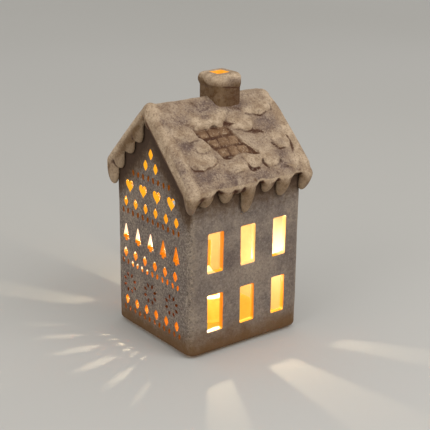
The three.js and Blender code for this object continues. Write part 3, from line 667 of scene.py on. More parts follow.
def painted_lamplight_of(outline, lit, white):
    """Painted lamplight on the sides of an opening: 0 is orange, 1 pale and WHITE a white painted highlight.
    """
    run, height = outline.T
    middle = height.mean()
    upward = 2 * (height - middle) / np.ptp(height)
    across = on_ring(run)[0][:, 0]
    if np.ptp(across) > 1:
        to_lamp = (across - across.mean()) * across > 0
        return 0.05 + 0.35 * np.clip(-8 * upward - 7, 0, 1) + 0.7 * to_lamp * (middle > UPPER_WINDOWS)
    aside = 2 * (run - run.mean()) / np.ptp(run)
    shine = np.clip(0.5 + 3 * (upward + 0.25 * aside - white), 0, 1)
    return (lit > 0.5) * np.interp(middle, PALE_HEIGHTS, PALE_SHARES) + WHITE * shine


for loop, (outline, lip, lit, white) in zip(loops, openings):
    numbers = [new_number[i] for i in loop]
    quarter = lip * (1 - math.sqrt(0.5))
    stages = [
        (quarter, quarter, 0.0, 0.35),
        (0.0, lip, 0.0, 1.0),
        (0.0, WALL / 2, 0.0, 1.0),
        (0.0, WALL - lip, 0.3, 1.0),
        (quarter, WALL - quarter, 0.8, 0.4),
    ]
    lamp_seen = white < NO_WHITE
    pale = painted_lamplight_of(outline, lit, white)
    rings = [[outer + n for n in numbers]]
    for growth, depth, inside, jamb in stages:
        deeper = np.clip(pale + 0.15 * depth / WALL, 0, WHITE if lamp_seen else 1.0)
        bright = np.maximum(lit, np.clip(deeper, 0, 1) * lamp_seen)
        ring_line = grown(outline, growth)
        first = add_layer(ring_line, depth, inside=inside, jamb=jamb, lit=bright * jamb, pale=deeper)
        rings.append(list(range(first, first + len(outline))))
    rings.append([inner + n for n in numbers])
    for near, far in zip(rings, rings[1:]):
        for i in range(len(near)):
            j = (i + 1) % len(near)
            wall_faces.append([near[i], near[j], far[j], far[i]])
print(len(loops), "sleeves")

# %% [markdown]
# ### Closed into one shell
#
# The foot and the top edge are closed with one row of quads each, and the points along the seam are
# welded. A shell without open edges can be cut, weighed and printed, so the open edges are counted.

# %% Close and weld the walls
SHARP = math.radians(50)


def paint(made, name, values):
    """Stores one value for each point of a mesh."""
    layer = made.data.attributes.new(name, "FLOAT", "POINT")
    layer.data.foreach_set("value", np.asarray(values, np.float32))


def welded(made):
    """Joins points that lie together, and returns how many edges stay open."""
    whole = bmesh.new()
    whole.from_mesh(made.data)
    bmesh.ops.remove_doubles(whole, verts=whole.verts, dist=1e-6)
    open_edges = sum(not e.is_manifold for e in whole.edges)
    whole.to_mesh(made.data)
    whole.free()
    made.data.set_sharp_from_angle(angle=SHARP)
    return open_edges


top_first = len(foot_line) + len(seam)
foot_numbers = range(len(columns))
top_numbers = range(top_first, top_first + len(columns))
for line, turned_over in ((foot_numbers, True), (top_numbers, False)):
    numbers = [new_number[i] for i in line]
    for i, j in zip(numbers, numbers[1:]):
        face = [outer + i, outer + j, inner + j, inner + i]
        wall_faces.append(face[::-1] if turned_over else face)
walls = object_from("clay_walls", wall_points, wall_faces)
for name, values in wall_paint.items():
    paint(walls, name, values)
open_edges = welded(walls)
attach(walls, "house")
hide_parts("front_wall", "back_wall", "pierced_gable", "plain_gable")
print("walls:", len(walls.data.polygons), "faces,", open_edges, "open edges")

# %% [markdown]
# ## The wall finish
#
# Outside, the buff clay carries a thin grey slip that was wiped while wet, so it is mottled and browner at
# the foot. Under the eaves it is dark from a thick wash and from painted shade. The gables are sandier
# than the long walls. Each of these is one coat over the coats before it, with a share that comes from
# noise or from the place on the house. A painted picture would do it too, but would need an unwrapped
# map of the walls.

# %% Grey slip over buff clay
UNDER_ROOF = 173.57
wall = Finish(
    "grey_slip", Specular_IOR_Level=0.6, Emission_Strength=1.0, Coat_Roughness=0.42, Coat_IOR=1.75
)


def near_spot(finish, spot, reach):
    """1 at a spot given in millimetres, fading to 0 at a reach from it."""
    return finish.ramp(finish.distance(Vector(spot) * MM), reach * MM, 0.25 * reach * MM)


wall_height = wall.axis("Z")
from_middle_x = abs(wall.axis("X"))
from_middle_y = abs(wall.axis("Y"))
cloud = wall.ramp(wall.grain(22.0, 4.0, 0.6), 0.36, 0.66)
patch = wall.ramp(wall.grain(7.0, 5.0, 0.65), 0.42, 0.7)
bloom = wall.ramp(wall.grain(13.0, 6.0, 0.7), 0.55, 0.75)
wall.coats = wall.mix(colour(118, 104, 94), colour(142, 126, 111), cloud)
wall.coat(102, 87, 81, patch * 0.7)
wall.coat(154, 138, 119, bloom * 0.65)
wiped = near_spot(wall, (-4, -49, 57), 22) + near_spot(wall, (10, -49, 60), 18)
wall.coat(158, 140, 122, wiped * (0.3 + patch * 0.3))
thick = near_spot(wall, (-16, -49, 73), 13) + near_spot(wall, (50, -49, 62), 22)
wall.coat(90, 74, 68, thick * (0.5 + patch * 0.3))
print("slip:", len(wall.tree.nodes), "nodes")

# %% [markdown]
# ### Wear, sand, wash and painted shade
#
# The upright corners are rubbed pale, fine dark and pale grains stand out where the slip is thin, and a
# brown wash was brushed along the foot and under the roof, with a ragged edge. Under the roof it is
# deepened by painted shade from the eaves.

# %% Wear the corners, brush the wash and paint the shade under the eaves
speckle = wall.grain(2.2, 4.0, 0.75)
grit = wall.grain(1.6, 3.0, 0.8)
on_corner = wall.ramp(from_middle_x, 0.045, 0.0505) * wall.ramp(from_middle_y, 0.0415, 0.047)
wall.coat(160, 142, 121, on_corner * wall.ramp(speckle, 0.4, 0.6) * 0.8)
on_gable = wall.ramp(from_middle_x, 0.0485, 0.0515)
sandy = 0.4 + on_gable * 0.45
wall.coat(64, 54, 48, wall.ramp(speckle, 0.54, 0.68) * sandy * 0.6)
wall.coat(168, 153, 136, wall.ramp(speckle, 0.46, 0.32) * sandy * 0.6)
wall.coat(56, 46, 40, wall.ramp(grit, 0.53, 0.63) * sandy * 0.85)
wall.coat(182, 168, 152, wall.ramp(grit, 0.47, 0.36) * sandy * 0.6)
foot_edge = wall_height + wall.grain(9.0, 3.0) * 0.016
wall.coat(100, 65, 14, wall.ramp(foot_edge, 0.035, 0.011) * 0.9)
# Under the eaves the wash is deepened by painted shade, darkest right under the roof's edge.
under_roof = (UNDER_ROOF * MM - SLOPE * from_middle_y - wall_height) * math.cos(PITCH)
eave_wash_and_shade = under_roof - on_gable * 0.010 + wall.grain(4.0, 6.0, 0.8) * 0.024
wall.coat(80, 55, 28, wall.ramp(eave_wash_and_shade, 0.0285, 0.0165) * 0.9)
wall.coat(56, 32, 8, wall.ramp(eave_wash_and_shade, 0.0195, 0.0125) * 0.85)
print("slip and wash:", len(wall.tree.nodes), "nodes")

# %% [markdown]
# ### The lit inside
#
# Inside, the clay has a thin satin glaze and takes the light of the lamp. The painted masks tell the
# inside and the sides of the openings from the outside. A soft glow that fades away from the lamp stands
# for the light that bounces about in the closed room, and the sides go from orange over gold to white.
# The sides' base colour is painted light and shade too: deep orange where the lamp reaches them and dark
# brown where it doesn't.

# %% Light the inside
BUFF = colour(156, 112, 70)
RUDDY_BUFF = colour(146, 102, 62)
LAMPLIT_JAMB = colour(192, 108, 12)
SHADED_JAMB = colour(102, 40, 8)
NEAR_GLOW = colour(236, 190, 112)
FAR_GLOW = colour(226, 158, 52)
JAMB_GLOW = colour(228, 130, 2)
GOLD_GLOW = colour(255, 198, 40)
PALE_GLOW = colour(255, 222, 146)
WHITE_GLOW = colour(255, 244, 214)
DARK = (0.0, 0.0, 0.0, 1.0)
LAMP_PLACE = Vector((0.0, 0.0, 40.5)) * MM
SLIP_ROUGHNESS = 0.88
GLAZE_ROUGHNESS = 0.42
JAMB_COAT = 0.08

inside = wall.ramp(wall.painted("inside"), 0.15, 0.85)
jamb = wall.ramp(wall.painted("jamb"), 0.2, 0.8)
lit = wall.painted("lit")
pale = wall.painted("pale")
buff = wall.mix(BUFF, RUDDY_BUFF, cloud)
# The sides' base colour is painted light and shade: orange where the lamp reaches them, dark brown where
# not.
jamb_lit_and_shaded = wall.mix(SHADED_JAMB, LAMPLIT_JAMB, wall.ramp(lit, 0.2, 0.8))
wall.feed("Base Color", wall.mix(wall.mix(wall.coats, buff, inside), jamb_lit_and_shaded, jamb))
jamb_only = jamb * (1 - inside)
wall.feed("Roughness", SLIP_ROUGHNESS - (inside + jamb_only) * (SLIP_ROUGHNESS - GLAZE_ROUGHNESS))
wall.feed("Coat Weight", inside + jamb_only * JAMB_COAT)
from_lamp = wall.distance(LAMP_PLACE)
room_glow = wall.mix(FAR_GLOW, NEAR_GLOW, wall.ramp(from_lamp, 0.080, 0.045))
room_share = (wall.ramp(from_lamp, 0.17, 0.05) * 0.75 + 0.25) * (inside * (0.46 + patch * 0.08))
jamb_glow = wall.mix(JAMB_GLOW, GOLD_GLOW, wall.ramp(pale, 0.0, 0.5))
jamb_glow = wall.mix(jamb_glow, PALE_GLOW, wall.ramp(pale, 0.5, 1.0))
jamb_glow = wall.mix(jamb_glow, WHITE_GLOW, wall.ramp(pale, 1.05, 1.5))
glow = wall.mix(wall.mix(DARK, room_glow, room_share), jamb_glow, lit * (0.5 + pale * 0.45))
wall.feed("Emission Color", glow)
wall.bump(grit * 0.5 + patch * 0.5, 0.16)
walls.data.materials.append(wall.material)
print("wall finish:", len(wall.tree.nodes), "nodes")

# %% [markdown]
# ## Snow on the roof, drawn as a relief
#
# The roof is modelled as thick snow: flat tongues of clay that overlap down the slope, a rounded roll
# along each verge, a bare patch where shingles show, and lumps that hang over the eaves and the gables.
# Sculpting by hand can't be written down, so the slope is first drawn as a relief, a table of heights
# over the slope seen flat, and a solid is grown from it afterwards.

# %% Tables over a slope
ROOF_APEX = 184.51
VERGE_EDGE = 55.6
EAVE = 54.6
ROOF_DEPTH = 7.8
CHIMNEY_ALONG = 9.5
STEP = 0.5
along = np.arange(-60.0, 60.0 + STEP, STEP)[:, None]
down = np.arange(-6.0, 92.0 + STEP, STEP)[None, :]
dice = np.random.default_rng(5)


def blurred(table, reach):
    """A table smoothed over a reach in millimetres."""
    size = max(1, round(reach / STEP))
    kernel = np.exp(-0.5 * (np.arange(-3 * size, 3 * size + 1) / size) ** 2)
    kernel /= kernel.sum()
    for axis in (0, 1):
        pad = [(3 * size, 3 * size) if a == axis else (0, 0) for a in (0, 1)]
        padded = np.pad(table, pad, "edge")
        table = np.apply_along_axis(np.convolve, axis, padded, kernel, "valid")
    return table


def rumple(reach):
    """Random waves of about this reach, from -1 to 1."""
    table = blurred(dice.standard_normal((along.size, down.size)), reach)
    return np.clip(table / (2.2 * table.std()), -1, 1)


def soft_step(value, low, high):
    share = np.clip((value - low) / (high - low), 0, 1)
    return share * share * (3 - 2 * share)


def soft_spot(value, width):
    """1 at nought, fading on both sides."""
    return np.exp(-((value / width) ** 2))


print("slope table:", along.size, "by", down.size)

# %% [markdown]
# ### Tongues of snow
#
# Each tongue is a flattened oval that rises gently from nothing and ends in a steep lower edge. Where
# tongues overlap the higher one is kept. A little wash gathers under the edges, so each tongue also says
# how dark the crease under it is. The back slope isn't seen, and repeats the front one turned round.

# %% Draw the tongues
FRONT_TONGUES = [
    (-14, 20, 19, 9.5, -6, 0.5),
    (-39, 30, 12.5, 7.5, 8, 0.15),
    (-29, 41, 7.5, 7, -10, 0.3),
    (-33.5, 54, 12.5, 8.5, 3, 0.7),
    (-8, 62.5, 11.5, 6.5, -6, 0.1),
    (9.5, 57.5, 8.5, 9, 6, 1.0),
    (24.5, 58, 9.5, 10.5, 6, 0.8),
    (42.0, 46, 9, 10, 4, 0.7),
    (34.5, 16, 14, 9.5, 4, 0.6),
    (14, 27, 12, 8.5, 10, 0.5),
    (40, 66, 9, 7, 5, 0.2),
]
BACK_TONGUES = [(-a, d, long, deep, -turn, dark) for a, d, long, deep, turn, dark in FRONT_TONGUES]
BACK_TONGUES.append((8, 39, 14, 9, 4, 0.3))
TONGUE_RISE = 1.9
OVAL = 2.3
VERGE_ROLL = 53.0


def tongue(along_middle, down_middle, half_long, half_deep, turn, dark, ragged):
    """Heights of one tongue, and the crease under its lower edge."""
    angle = math.radians(turn)
    across = (along - along_middle) * math.cos(angle) + (down - down_middle) * math.sin(angle)
    below = (down - down_middle) * math.cos(angle) - (along - along_middle) * math.sin(angle)
    from_middle = np.abs(across / half_long) ** OVAL + np.abs(below / half_deep) ** OVAL
    oval = from_middle ** (1 / OVAL) + 0.2 * ragged
    slant = soft_step(below / half_deep, -1.0, 0.75)
    edge = soft_step(oval, 1.1, 0.6 + 0.22 * dark)
    crease = soft_spot(oval - 1.07, 0.085) * soft_step(below / half_deep, 0.1, 0.8)
    return TONGUE_RISE * slant * edge, dark * crease * np.clip(0.8 + 0.9 * ragged, 0, 1.2)


def slope_relief(tongues):
    """A slope's relief, the snow of its tongues alone, and its creases."""
    ragged = rumple(3.0)
    snow = np.zeros((along.size, down.size))
    creases = np.zeros_like(snow)
    for shape in tongues:
        height, crease = tongue(*shape, ragged)
        creases = np.where(height > 0.5, 0.4 * creases, creases)
        creases = np.maximum(creases, np.where(snow > height + 0.9, 0.0, crease))
        snow = np.maximum(snow, height)
    roll = 0.6 * soft_spot(np.abs(along) - VERGE_ROLL, 3.2)
    relief = snow + roll * soft_step(down, 0, 8) + 0.5 * rumple(7.0) + 0.16 * rumple(1.6)
    return relief, snow, creases


front_relief, front_snow, front_creases = slope_relief(FRONT_TONGUES)
back_relief, back_snow, back_creases = slope_relief(BACK_TONGUES)
print("snow up to", round(front_relief.max(), 2), "mm in front,", round(back_relief.max(), 2), "mm behind")

# %% [markdown]
# ### Strokes of wash
#
# The creases that stand out were drawn with a brush full of brown wash. Each is a line down the slope's
# table with a width and a strength, thin at both ends, and it also sinks a little into the snow. Creases
# found from the relief alone would be evenly dark, which a brush never is, so those only stay as a trace.

# %% Brush the strokes
FRONT_STROKES = [
    ([(26.5, 22.0), (30.3, 24.1), (35.2, 25.5), (41.1, 23.5)], 1.0, 0.8),
    ([(13.6, 37.0), (18.9, 36.6), (23.7, 38.0), (28.2, 39.0)], 2.9, 1.0),
    ([(31.7, 50.1), (33.8, 53.1), (36.4, 55.6), (43.0, 55.4)], 1.0, 0.85),
    ([(47.4, 46.2), (48.1, 51.0), (48.5, 55.8), (46.2, 61.8)], 1.4, 0.8),
    ([(1.1, 61.0), (1.4, 65.2), (4.5, 67.8), (10.5, 68.1)], 1.7, 1.0),
    ([(14.4, 60.1), (15.3, 64.5), (17.1, 67.7), (18.9, 70.0)], 1.4, 0.9),
    ([(20.8, 66.7), (25.8, 68.8)], 1.0, 0.5),
    ([(-46.6, 56.8), (-44.6, 60.2), (-37.8, 61.5), (-28.4, 60.4), (-22.3, 56.7)], 1.1, 0.8),
    ([(-21.8, 5.1), (-18.1, 6.5), (-16.3, 9.1), (-14.1, 11.1)], 1.4, 0.6),
    ([(5.9, 11.4), (8.9, 15.1), (14.5, 17.2), (22.0, 18.9)], 1.5, 0.6),
    ([(-52.8, 17.6), (-52.5, 25.0)], 1.1, 0.5),
    ([(-41.9, 13.9), (-36.4, 20.4), (-28.9, 25.4), (-24.2, 29.9)], 1.6, 0.5),
    ([(-18.2, 59.3), (-18.3, 67.8), (-15.7, 71.4)], 1.6, 0.45),
    ([(47.8, 73.1), (43.2, 78.0), (35.3, 82.6)], 1.8, 0.8),
    ([(-0.5, 76.6), (5.0, 77.6), (9.0, 78.2), (13.0, 79.4)], 1.0, 0.75),
]
PATCH_STROKES = [
    ([(-25.1, 28.8), (-20.6, 27.5), (-15.3, 27.7), (-10.2, 29.1), (-4.1, 30.4)], 1.5, 1.0),
    ([(-2.5, 30.0), (-0.2, 26.5), (2.7, 28.9), (6.3, 29.5)], 2.2, 1.0),
    ([(-21.5, 40.5), (-19.0, 45.4), (-16.0, 47.5)], 1.8, 0.8),
]
CREASE_TRACE = 0.2
STROKE_DEPTH = 0.8
BACK_STRENGTH = 0.9


def stroke(line, half, strength, ragged):
    """A smear of wash along a line, thin at both ends."""
    lengths = [math.dist(a, b) for a, b in zip(line, line[1:])]
    smear = np.zeros((along.size, down.size))
    run = 0.0
    for start, end, length in zip(line, line[1:], lengths):
        way = (end[0] - start[0]) / length, (end[1] - start[1]) / length
        ahead = np.clip((along - start[0]) * way[0] + (down - start[1]) * way[1], 0, length)
        aside = np.hypot(along - start[0] - ahead * way[0], down - start[1] - ahead * way[1])
        width = half * (0.35 + 0.65 * np.sin(math.pi * (run + ahead) / sum(lengths)))
        smear = np.maximum(smear, soft_spot(aside + 0.5 * half * ragged, width))
        run += length
    return strength * smear


front_creases *= CREASE_TRACE
back_creases *= CREASE_TRACE
bristles = rumple(1.6)
for line, half, strength in FRONT_STROKES + PATCH_STROKES:
    front_creases = np.maximum(front_creases, stroke(line, half, strength, bristles))
for line, half, strength in FRONT_STROKES:
    turned_line = [(-a, d) for a, d in line]
    smear = stroke(turned_line, half, BACK_STRENGTH * strength, bristles[:, ::-1])
    back_creases = np.maximum(back_creases, smear)
front_relief -= STROKE_DEPTH * front_creases
back_relief -= STROKE_DEPTH * back_creases
print(len(FRONT_STROKES) + len(PATCH_STROKES), "strokes in front,", len(FRONT_STROKES), "behind")

# %% [markdown]
# ### Bare shingles
#
# In one place the snow has slid off and shingles show: three rows of three, each row a half step along
# from the one above, sunk into the snow and partly buried at their upper edge. Three small gashes at the
# eave are sunk in the same way. Nothing is cut out; the relief goes down there and its joints are darker.
# The top row is darkened too, by a painted shadow of the snow's edge over it.

# %% Sink the shingles
TILE = 8.6
TILE_JOINT = 0.95
TILE_STAGGER = 4.6
TILE_WIDE = 9.1
TILE_SINK = 1.9
TILE_RISE = 0.9
BARE_ALONG = -8.2
BARE_DOWN = 41.2
tile_rows = (down - BARE_DOWN + 0.9 * rumple(5.0)) / TILE + 1.5
row = np.clip(np.floor(tile_rows), 0, 2)
tile_columns = (along - BARE_ALONG - (row - 1) * TILE_STAGGER + 0.9 * rumple(4.0)) / TILE_WIDE + 1.5
down_tile = tile_rows - np.floor(tile_rows)
across_tile = tile_columns - np.floor(tile_columns)
in_row = np.abs(down_tile - 0.5) * TILE
in_column = np.abs(across_tile - 0.5) * TILE_WIDE - 0.5 * (TILE_WIDE - TILE)
tile_edge = np.maximum(in_row + 0.35, in_column) + 0.4 * rumple(1.5)
tile_top = soft_step(tile_edge, TILE / 2 - 0.2 * TILE_JOINT, TILE / 2 - 1.5 * TILE_JOINT)
slanted = along - BARE_ALONG - (down - BARE_DOWN) * TILE_STAGGER / TILE
buried = 3.2 * rumple(4.0) * soft_step(down, BARE_DOWN - TILE / 2, BARE_DOWN - TILE)
bare_rim = np.maximum(np.abs(slanted) - 1.5 * TILE_WIDE, np.abs(down - BARE_DOWN) - 1.5 * TILE)
tile_top = tile_top * soft_step(bare_rim, 0.2, -0.6)
bare = soft_step(bare_rim + 2.2 * rumple(3.0) + buried, 2.2, 0.0)
tiles = -TILE_SINK + tile_top * (TILE_RISE + 0.25 * down_tile)
front_relief = front_relief * (1 - bare) + tiles * bare
print("shingles in", int((bare > 0.5).sum()), "places of the table")

# %% Sink the gashes and join the slopes at the ridge
GASHES = [(1.3, 76.5, 1.5, 1.0), (9.8, 77.9, 1.3, 0.9), (12.7, 79.0, 1.1, 0.8)]
GASH_SINK = 1.3
gash = np.zeros_like(bare)
for along_middle, down_middle, half_long, half_deep in GASHES:
    oval = ((along - along_middle) / half_long) ** 2 + ((down - down_middle) / half_deep) ** 2
    gash = np.maximum(gash, soft_step(oval + 0.7 * rumple(1.3), 1.4, 0.2))
front_relief = front_relief * (1 - gash) - GASH_SINK * gash
tile_joints = bare * (1 - tile_top) * (0.85 + 0.3 * rumple(2.5))
joints_and_shadow = np.maximum(tile_joints, gash * (0.75 + 0.25 * rumple(1.3)))
# Painted shadow of the snow's edge over the top row of shingles, kept with the dark joints.
shaded = 0.45 * bare * soft_step(down + 2.0 * rumple(4.0), BARE_DOWN - 4.0, BARE_DOWN - 10.0)
joints_and_shadow = np.maximum(joints_and_shadow, shaded)
shared = 0.5 * (front_relief + back_relief)
ridge_share = soft_step(down, 7.0, 0.0)
front_relief = blurred(front_relief * (1 - ridge_share) + shared * ridge_share, 0.5)
back_relief = blurred(back_relief * (1 - ridge_share) + shared * ridge_share, 0.5)
print("relief from", round(front_relief.min(), 2), "to", round(front_relief.max(), 2), "mm")

# %% [markdown]
# ### Stains
#
# Between the tongues the slip is thin and the grey-violet body shows through in soft stains. They are
# placed as ovals, and broken up by noise here and again in the finish.

# %% Stain the thin places
FRONT_STAINS = [
    (36, 32, 10, 7),
    (-40, 39, 10, 6),
    (-35, 19, 7, 4),
    (-7, 12, 16, 6.5),
    (-15, 20, 5, 3),
    (19, 15, 13, 4.5),
    (-41, 65, 14, 7),
    (-16, 69, 8, 6),
    (34, 68, 7, 8),
    (-50, 20, 3.5, 9),
    (-23, 77, 13, 4.5),
    (33, 60, 8, 5),
    (8, 74, 13, 4.5),
    (-55, 60, 4, 16),
    (38, 51, 4, 3),
]
BACK_STAINS = [(-a, d, long, deep) for a, d, long, deep in FRONT_STAINS]


def stains_of(spots):
    stain = np.zeros_like(bare)
    for along_middle, down_middle, half_long, half_deep in spots:
        oval = ((along - along_middle) / half_long) ** 2 + ((down - down_middle) / half_deep) ** 2
        stain = np.maximum(stain, np.exp(-(oval**1.5)))
    return stain * (0.75 + 0.25 * rumple(2.0))


front_stains = stains_of(FRONT_STAINS)
back_stains = stains_of(BACK_STAINS)
print(len(FRONT_STAINS), "stains on each slope")

# %% [markdown]
# ## The roof as a solid, grown from distances
#
# A distance field gives, at each point of a grid, how far the surface is, below nought inside. Two forms
# join where the smaller distance is kept, and a soft minimum lets them flow together as wet clay does.
# Modelling the lumps one by one and uniting them with booleans would leave hard creases everywhere.
# OpenVDB, which comes with Blender, turns the field into quads.


# %% Fields and how they join
def soft_union(one, other, reach):
    share = np.clip(0.5 + 0.5 * (other - one) / reach, 0, 1)
    return other + (one - other) * share - reach * share * (1 - share)


def soft_common(one, other, reach):
    return -soft_union(-one, -other, reach)


def oval_field(grid, middle, radii):
    scaled = [(g - m) / r for g, m, r in zip(grid, middle, radii)]
    near = np.sqrt(scaled[0] ** 2 + scaled[1] ** 2 + scaled[2] ** 2)
    steep = np.sqrt(sum((s / r) ** 2 for s, r in zip(scaled, radii)))
    return near * (near - 1) / np.maximum(steep, 1e-6)


def blunt_field(grid, middle, radii, blunt=2.8):
    """A flat lump with blunt ends, thin along x."""
    x, y, z = [(g - m) / r for g, m, r in zip(grid, middle, radii)]
    face = (np.abs(y) ** blunt + np.abs(z) ** blunt) ** (1 / blunt)
    return radii[0] * (np.sqrt(x**2 + face**2) - 1)


def drip_field(grid, middle, radii, shoulder, lean=0.0):
    """A hanging oval whose upper half is squeezed to a low shoulder and whose tip leans aside."""
    x, y, z = grid
    squeezed = np.where(z > middle[2], middle[2] + (z - middle[2]) * radii[2] / shoulder, z)
    sunk = np.clip((middle[2] - z) / radii[2], 0, 1)
    return oval_field((x + lean * sunk, y, squeezed), middle, radii)


def rounded_square(x, y, half_x, half_y, corner):
    from_x = np.abs(x) - half_x + corner
    from_y = np.abs(y) - half_y + corner
    outside = np.sqrt(np.maximum(from_x, 0) ** 2 + np.maximum(from_y, 0) ** 2)
    return outside + np.minimum(np.maximum(from_x, from_y), 0) - corner


print("field tools ready")

# %% [markdown]
# ### Grids and tables
#
# The relief tables are read at any place along and down a slope, and a field is worked out on an even
# grid of points. Sparse grids keep that quick, because each axis is only stored once.


# %% Read tables and draw surfaces
def read_table(table, x, d):
    """Heights of a slope table at places along and down, blended between its steps."""
    i = np.clip((x - along[0, 0]) / STEP, 0, along.size - 1.001)
    j = np.clip((d - down[0, 0]) / STEP, 0, down.size - 1.001)
    i0 = i.astype(int)
    j0 = j.astype(int)
    i -= i0
    j -= j0
    near = table[i0, j0] * (1 - i) + table[i0 + 1, j0] * i
    far = table[i0, j0 + 1] * (1 - i) + table[i0 + 1, j0 + 1] * i
    return near * (1 - j) + far * j


def even_grid(low, counts, step):
    axes = [start + step * np.arange(count) for start, count in zip(low, counts)]
    return np.meshgrid(*axes, indexing="ij", sparse=True)


def surface_of(name, field, corner, step):
    """The zero surface of a field on a grid, as an object."""
    volume = openvdb.FloatGrid(5.0)
    volume.copyFromArray(np.clip(field, -5, 5).astype(np.float32))
    spots, quads = volume.convertToQuads(isovalue=0.0)
    made = object_from(name, np.asarray(corner) + spots * step, quads.tolist())
    print(name, "has", len(quads), "quads")
    return made


print("table and surface tools ready")

# %% [markdown]
# ### The snow on the slopes
#
# The two slopes are one field, because their relief stands on one distance from the roof's planes. A soft
# ridge, a collar of snow round the chimney's foot and a ridge that sinks towards the plain gable are all
# part of that distance. Over the room the underside follows the slopes, and beyond the walls it is cut off
# level at the eave.

# %% Grow the slopes
VOXEL = 0.7
WALL_GAP = 0.6
EAVE_EDGE = 127.5
RIDGE_ROUND = 2.2
COLLAR_RISE = 2.3
RIDGE_FALL = 3.4
roof_low = np.array([-60.2, -58.8, 102.9])
gx, gy, gz = even_grid(roof_low, [173, 169, 123], VOXEL)
roof_grid = (gx, gy, gz)
sine = math.sin(PITCH)
cosine = math.cos(PITCH)
soft_y = np.sqrt(gy**2 + RIDGE_ROUND**2)
above = soft_y * sine + (gz - ROOF_APEX) * cosine
way_down = soft_y * cosine - (gz - ROOF_APEX) * sine
shape = np.broadcast_shapes(gx.shape, above.shape)
full_x = np.broadcast_to(gx, shape)
full_down = np.broadcast_to(way_down, shape)
on_front = read_table(front_relief, full_x, full_down)
on_back = read_table(back_relief, full_x, full_down)
relief = np.where(np.broadcast_to(gy < 0, shape), on_front, on_back)
footprint = rounded_square(gx - CHIMNEY_ALONG, gy, 10.2, 10.2, 4.5)
collar = COLLAR_RISE * soft_spot(np.maximum(footprint, 0), 5.5) * soft_step(way_down, 3.0, 10.0)
ridge_fall = RIDGE_FALL * soft_step(gx, 45.0, 57.0) * soft_step(way_down, 26.0, 2.0)
top = above - relief - collar + ridge_fall
underside = -(np.abs(gy) * sine + (gz - ROOF_APEX) * cosine + ROOF_DEPTH)
overhang = np.where(np.abs(gy) > HALF_WIDTH + WALL_GAP, EAVE_EDGE - gz, underside)
roof = soft_common(top, np.abs(gx) - VERGE_EDGE, 5.0)
roof = soft_common(roof, np.abs(gy) - EAVE, 7.0)
roof = soft_common(roof, overhang, 2.6)
print("slopes on a grid of", roof.shape)

# %% [markdown]
# ### Drips along the eaves
#
# Along each eave the snow ends in drips of different lengths, one of them a long icicle, with gaps
# between them where the edge is thin. A drip is a hanging oval with a low shoulder, and its tip may lean.

# %% Hang the drips
FRONT_DRIPS = [
    (-50.0, 4.4, 120.4, 0.0),
    (-41.0, 7.2, 116.8, 0.5),
    (-22.5, 6.6, 116.6, 0.8),
    (-13.0, 4.6, 122.0, 0.0),
    (-1.8, 6.4, 106.2, 3.4),
    (17.0, 6.0, 118.4, 3.4),
    (31.8, 7.0, 112.8, 3.6),
]
BACK_DRIPS = [
    (-43, 6.6, 116.5, -1.5),
    (-29, 6.4, 113.0, 1.5),
    (-12, 7.4, 119.0, -1.0),
    (5, 6.2, 108.5, 2.0),
    (18, 6.6, 118.0, -1.5),
    (33, 6.8, 114.0, 2.0),
]
DRIP_OUT = 50.4
DRIP_THICK = 4.9
DRIP_SHOULDER = 5.5
drip_root = EAVE_EDGE + 0.5
for side, drips in ((-1, FRONT_DRIPS), (1, BACK_DRIPS)):
    for place_along, half, tip, lean in drips:
        root = (place_along, side * DRIP_OUT, drip_root)
        drip = drip_field(roof_grid, root, (half, DRIP_THICK, drip_root - tip), DRIP_SHOULDER, lean)
        roof = soft_union(roof, drip, 3.4)
print(len(FRONT_DRIPS), "drips in front and", len(BACK_DRIPS), "behind")

# %% [markdown]
# ### Rolls and fingers over the gables
#
# Over each gable the front slope ends in a thick rounded roll with lumps tucked under it. The back slope
# ends in a thinner rim from which short fat fingers hang, and a heavier lump hangs at each corner. They
# all stay clear of the walls, because the roof lifts off.

# %% Hang the verges
ROLL_OUT = 52.6
ROLL_RADII = (4.4, 6.6)
ROLL_SUNK = 6.4
ROLL_END = 50.0
RIM_OUT = 53.4
RIM_RADII = (3.7, 2.7)
RIM_SUNK = 2.6
RIM_END = 51.2
FINGERS = [(14.0, 152.0, 6.8), (26.6, 141.2, 8.0), (39.4, 126.8, 6.6)]
FINGER_OUT = 53.9
FINGER_THICK = 3.3
LUMP_OUT = 53.2
LUMP_THICK = 2.0
FRONT_CORNERS = {-1: (4.6, 0.5), 1: (5.6, 4.0)}
FAR_OFF = 9.0


def bead(side, from_verge, over, radii, reach):
    """A rounded roll along a verge, on one side of the ridge and as far as a reach from it."""
    around = np.sqrt((from_verge / radii[0]) ** 2 + (over / radii[1]) ** 2) - 1
    return np.maximum(min(radii) * around, np.maximum(-side * gy - 1.0, side * gy - reach))


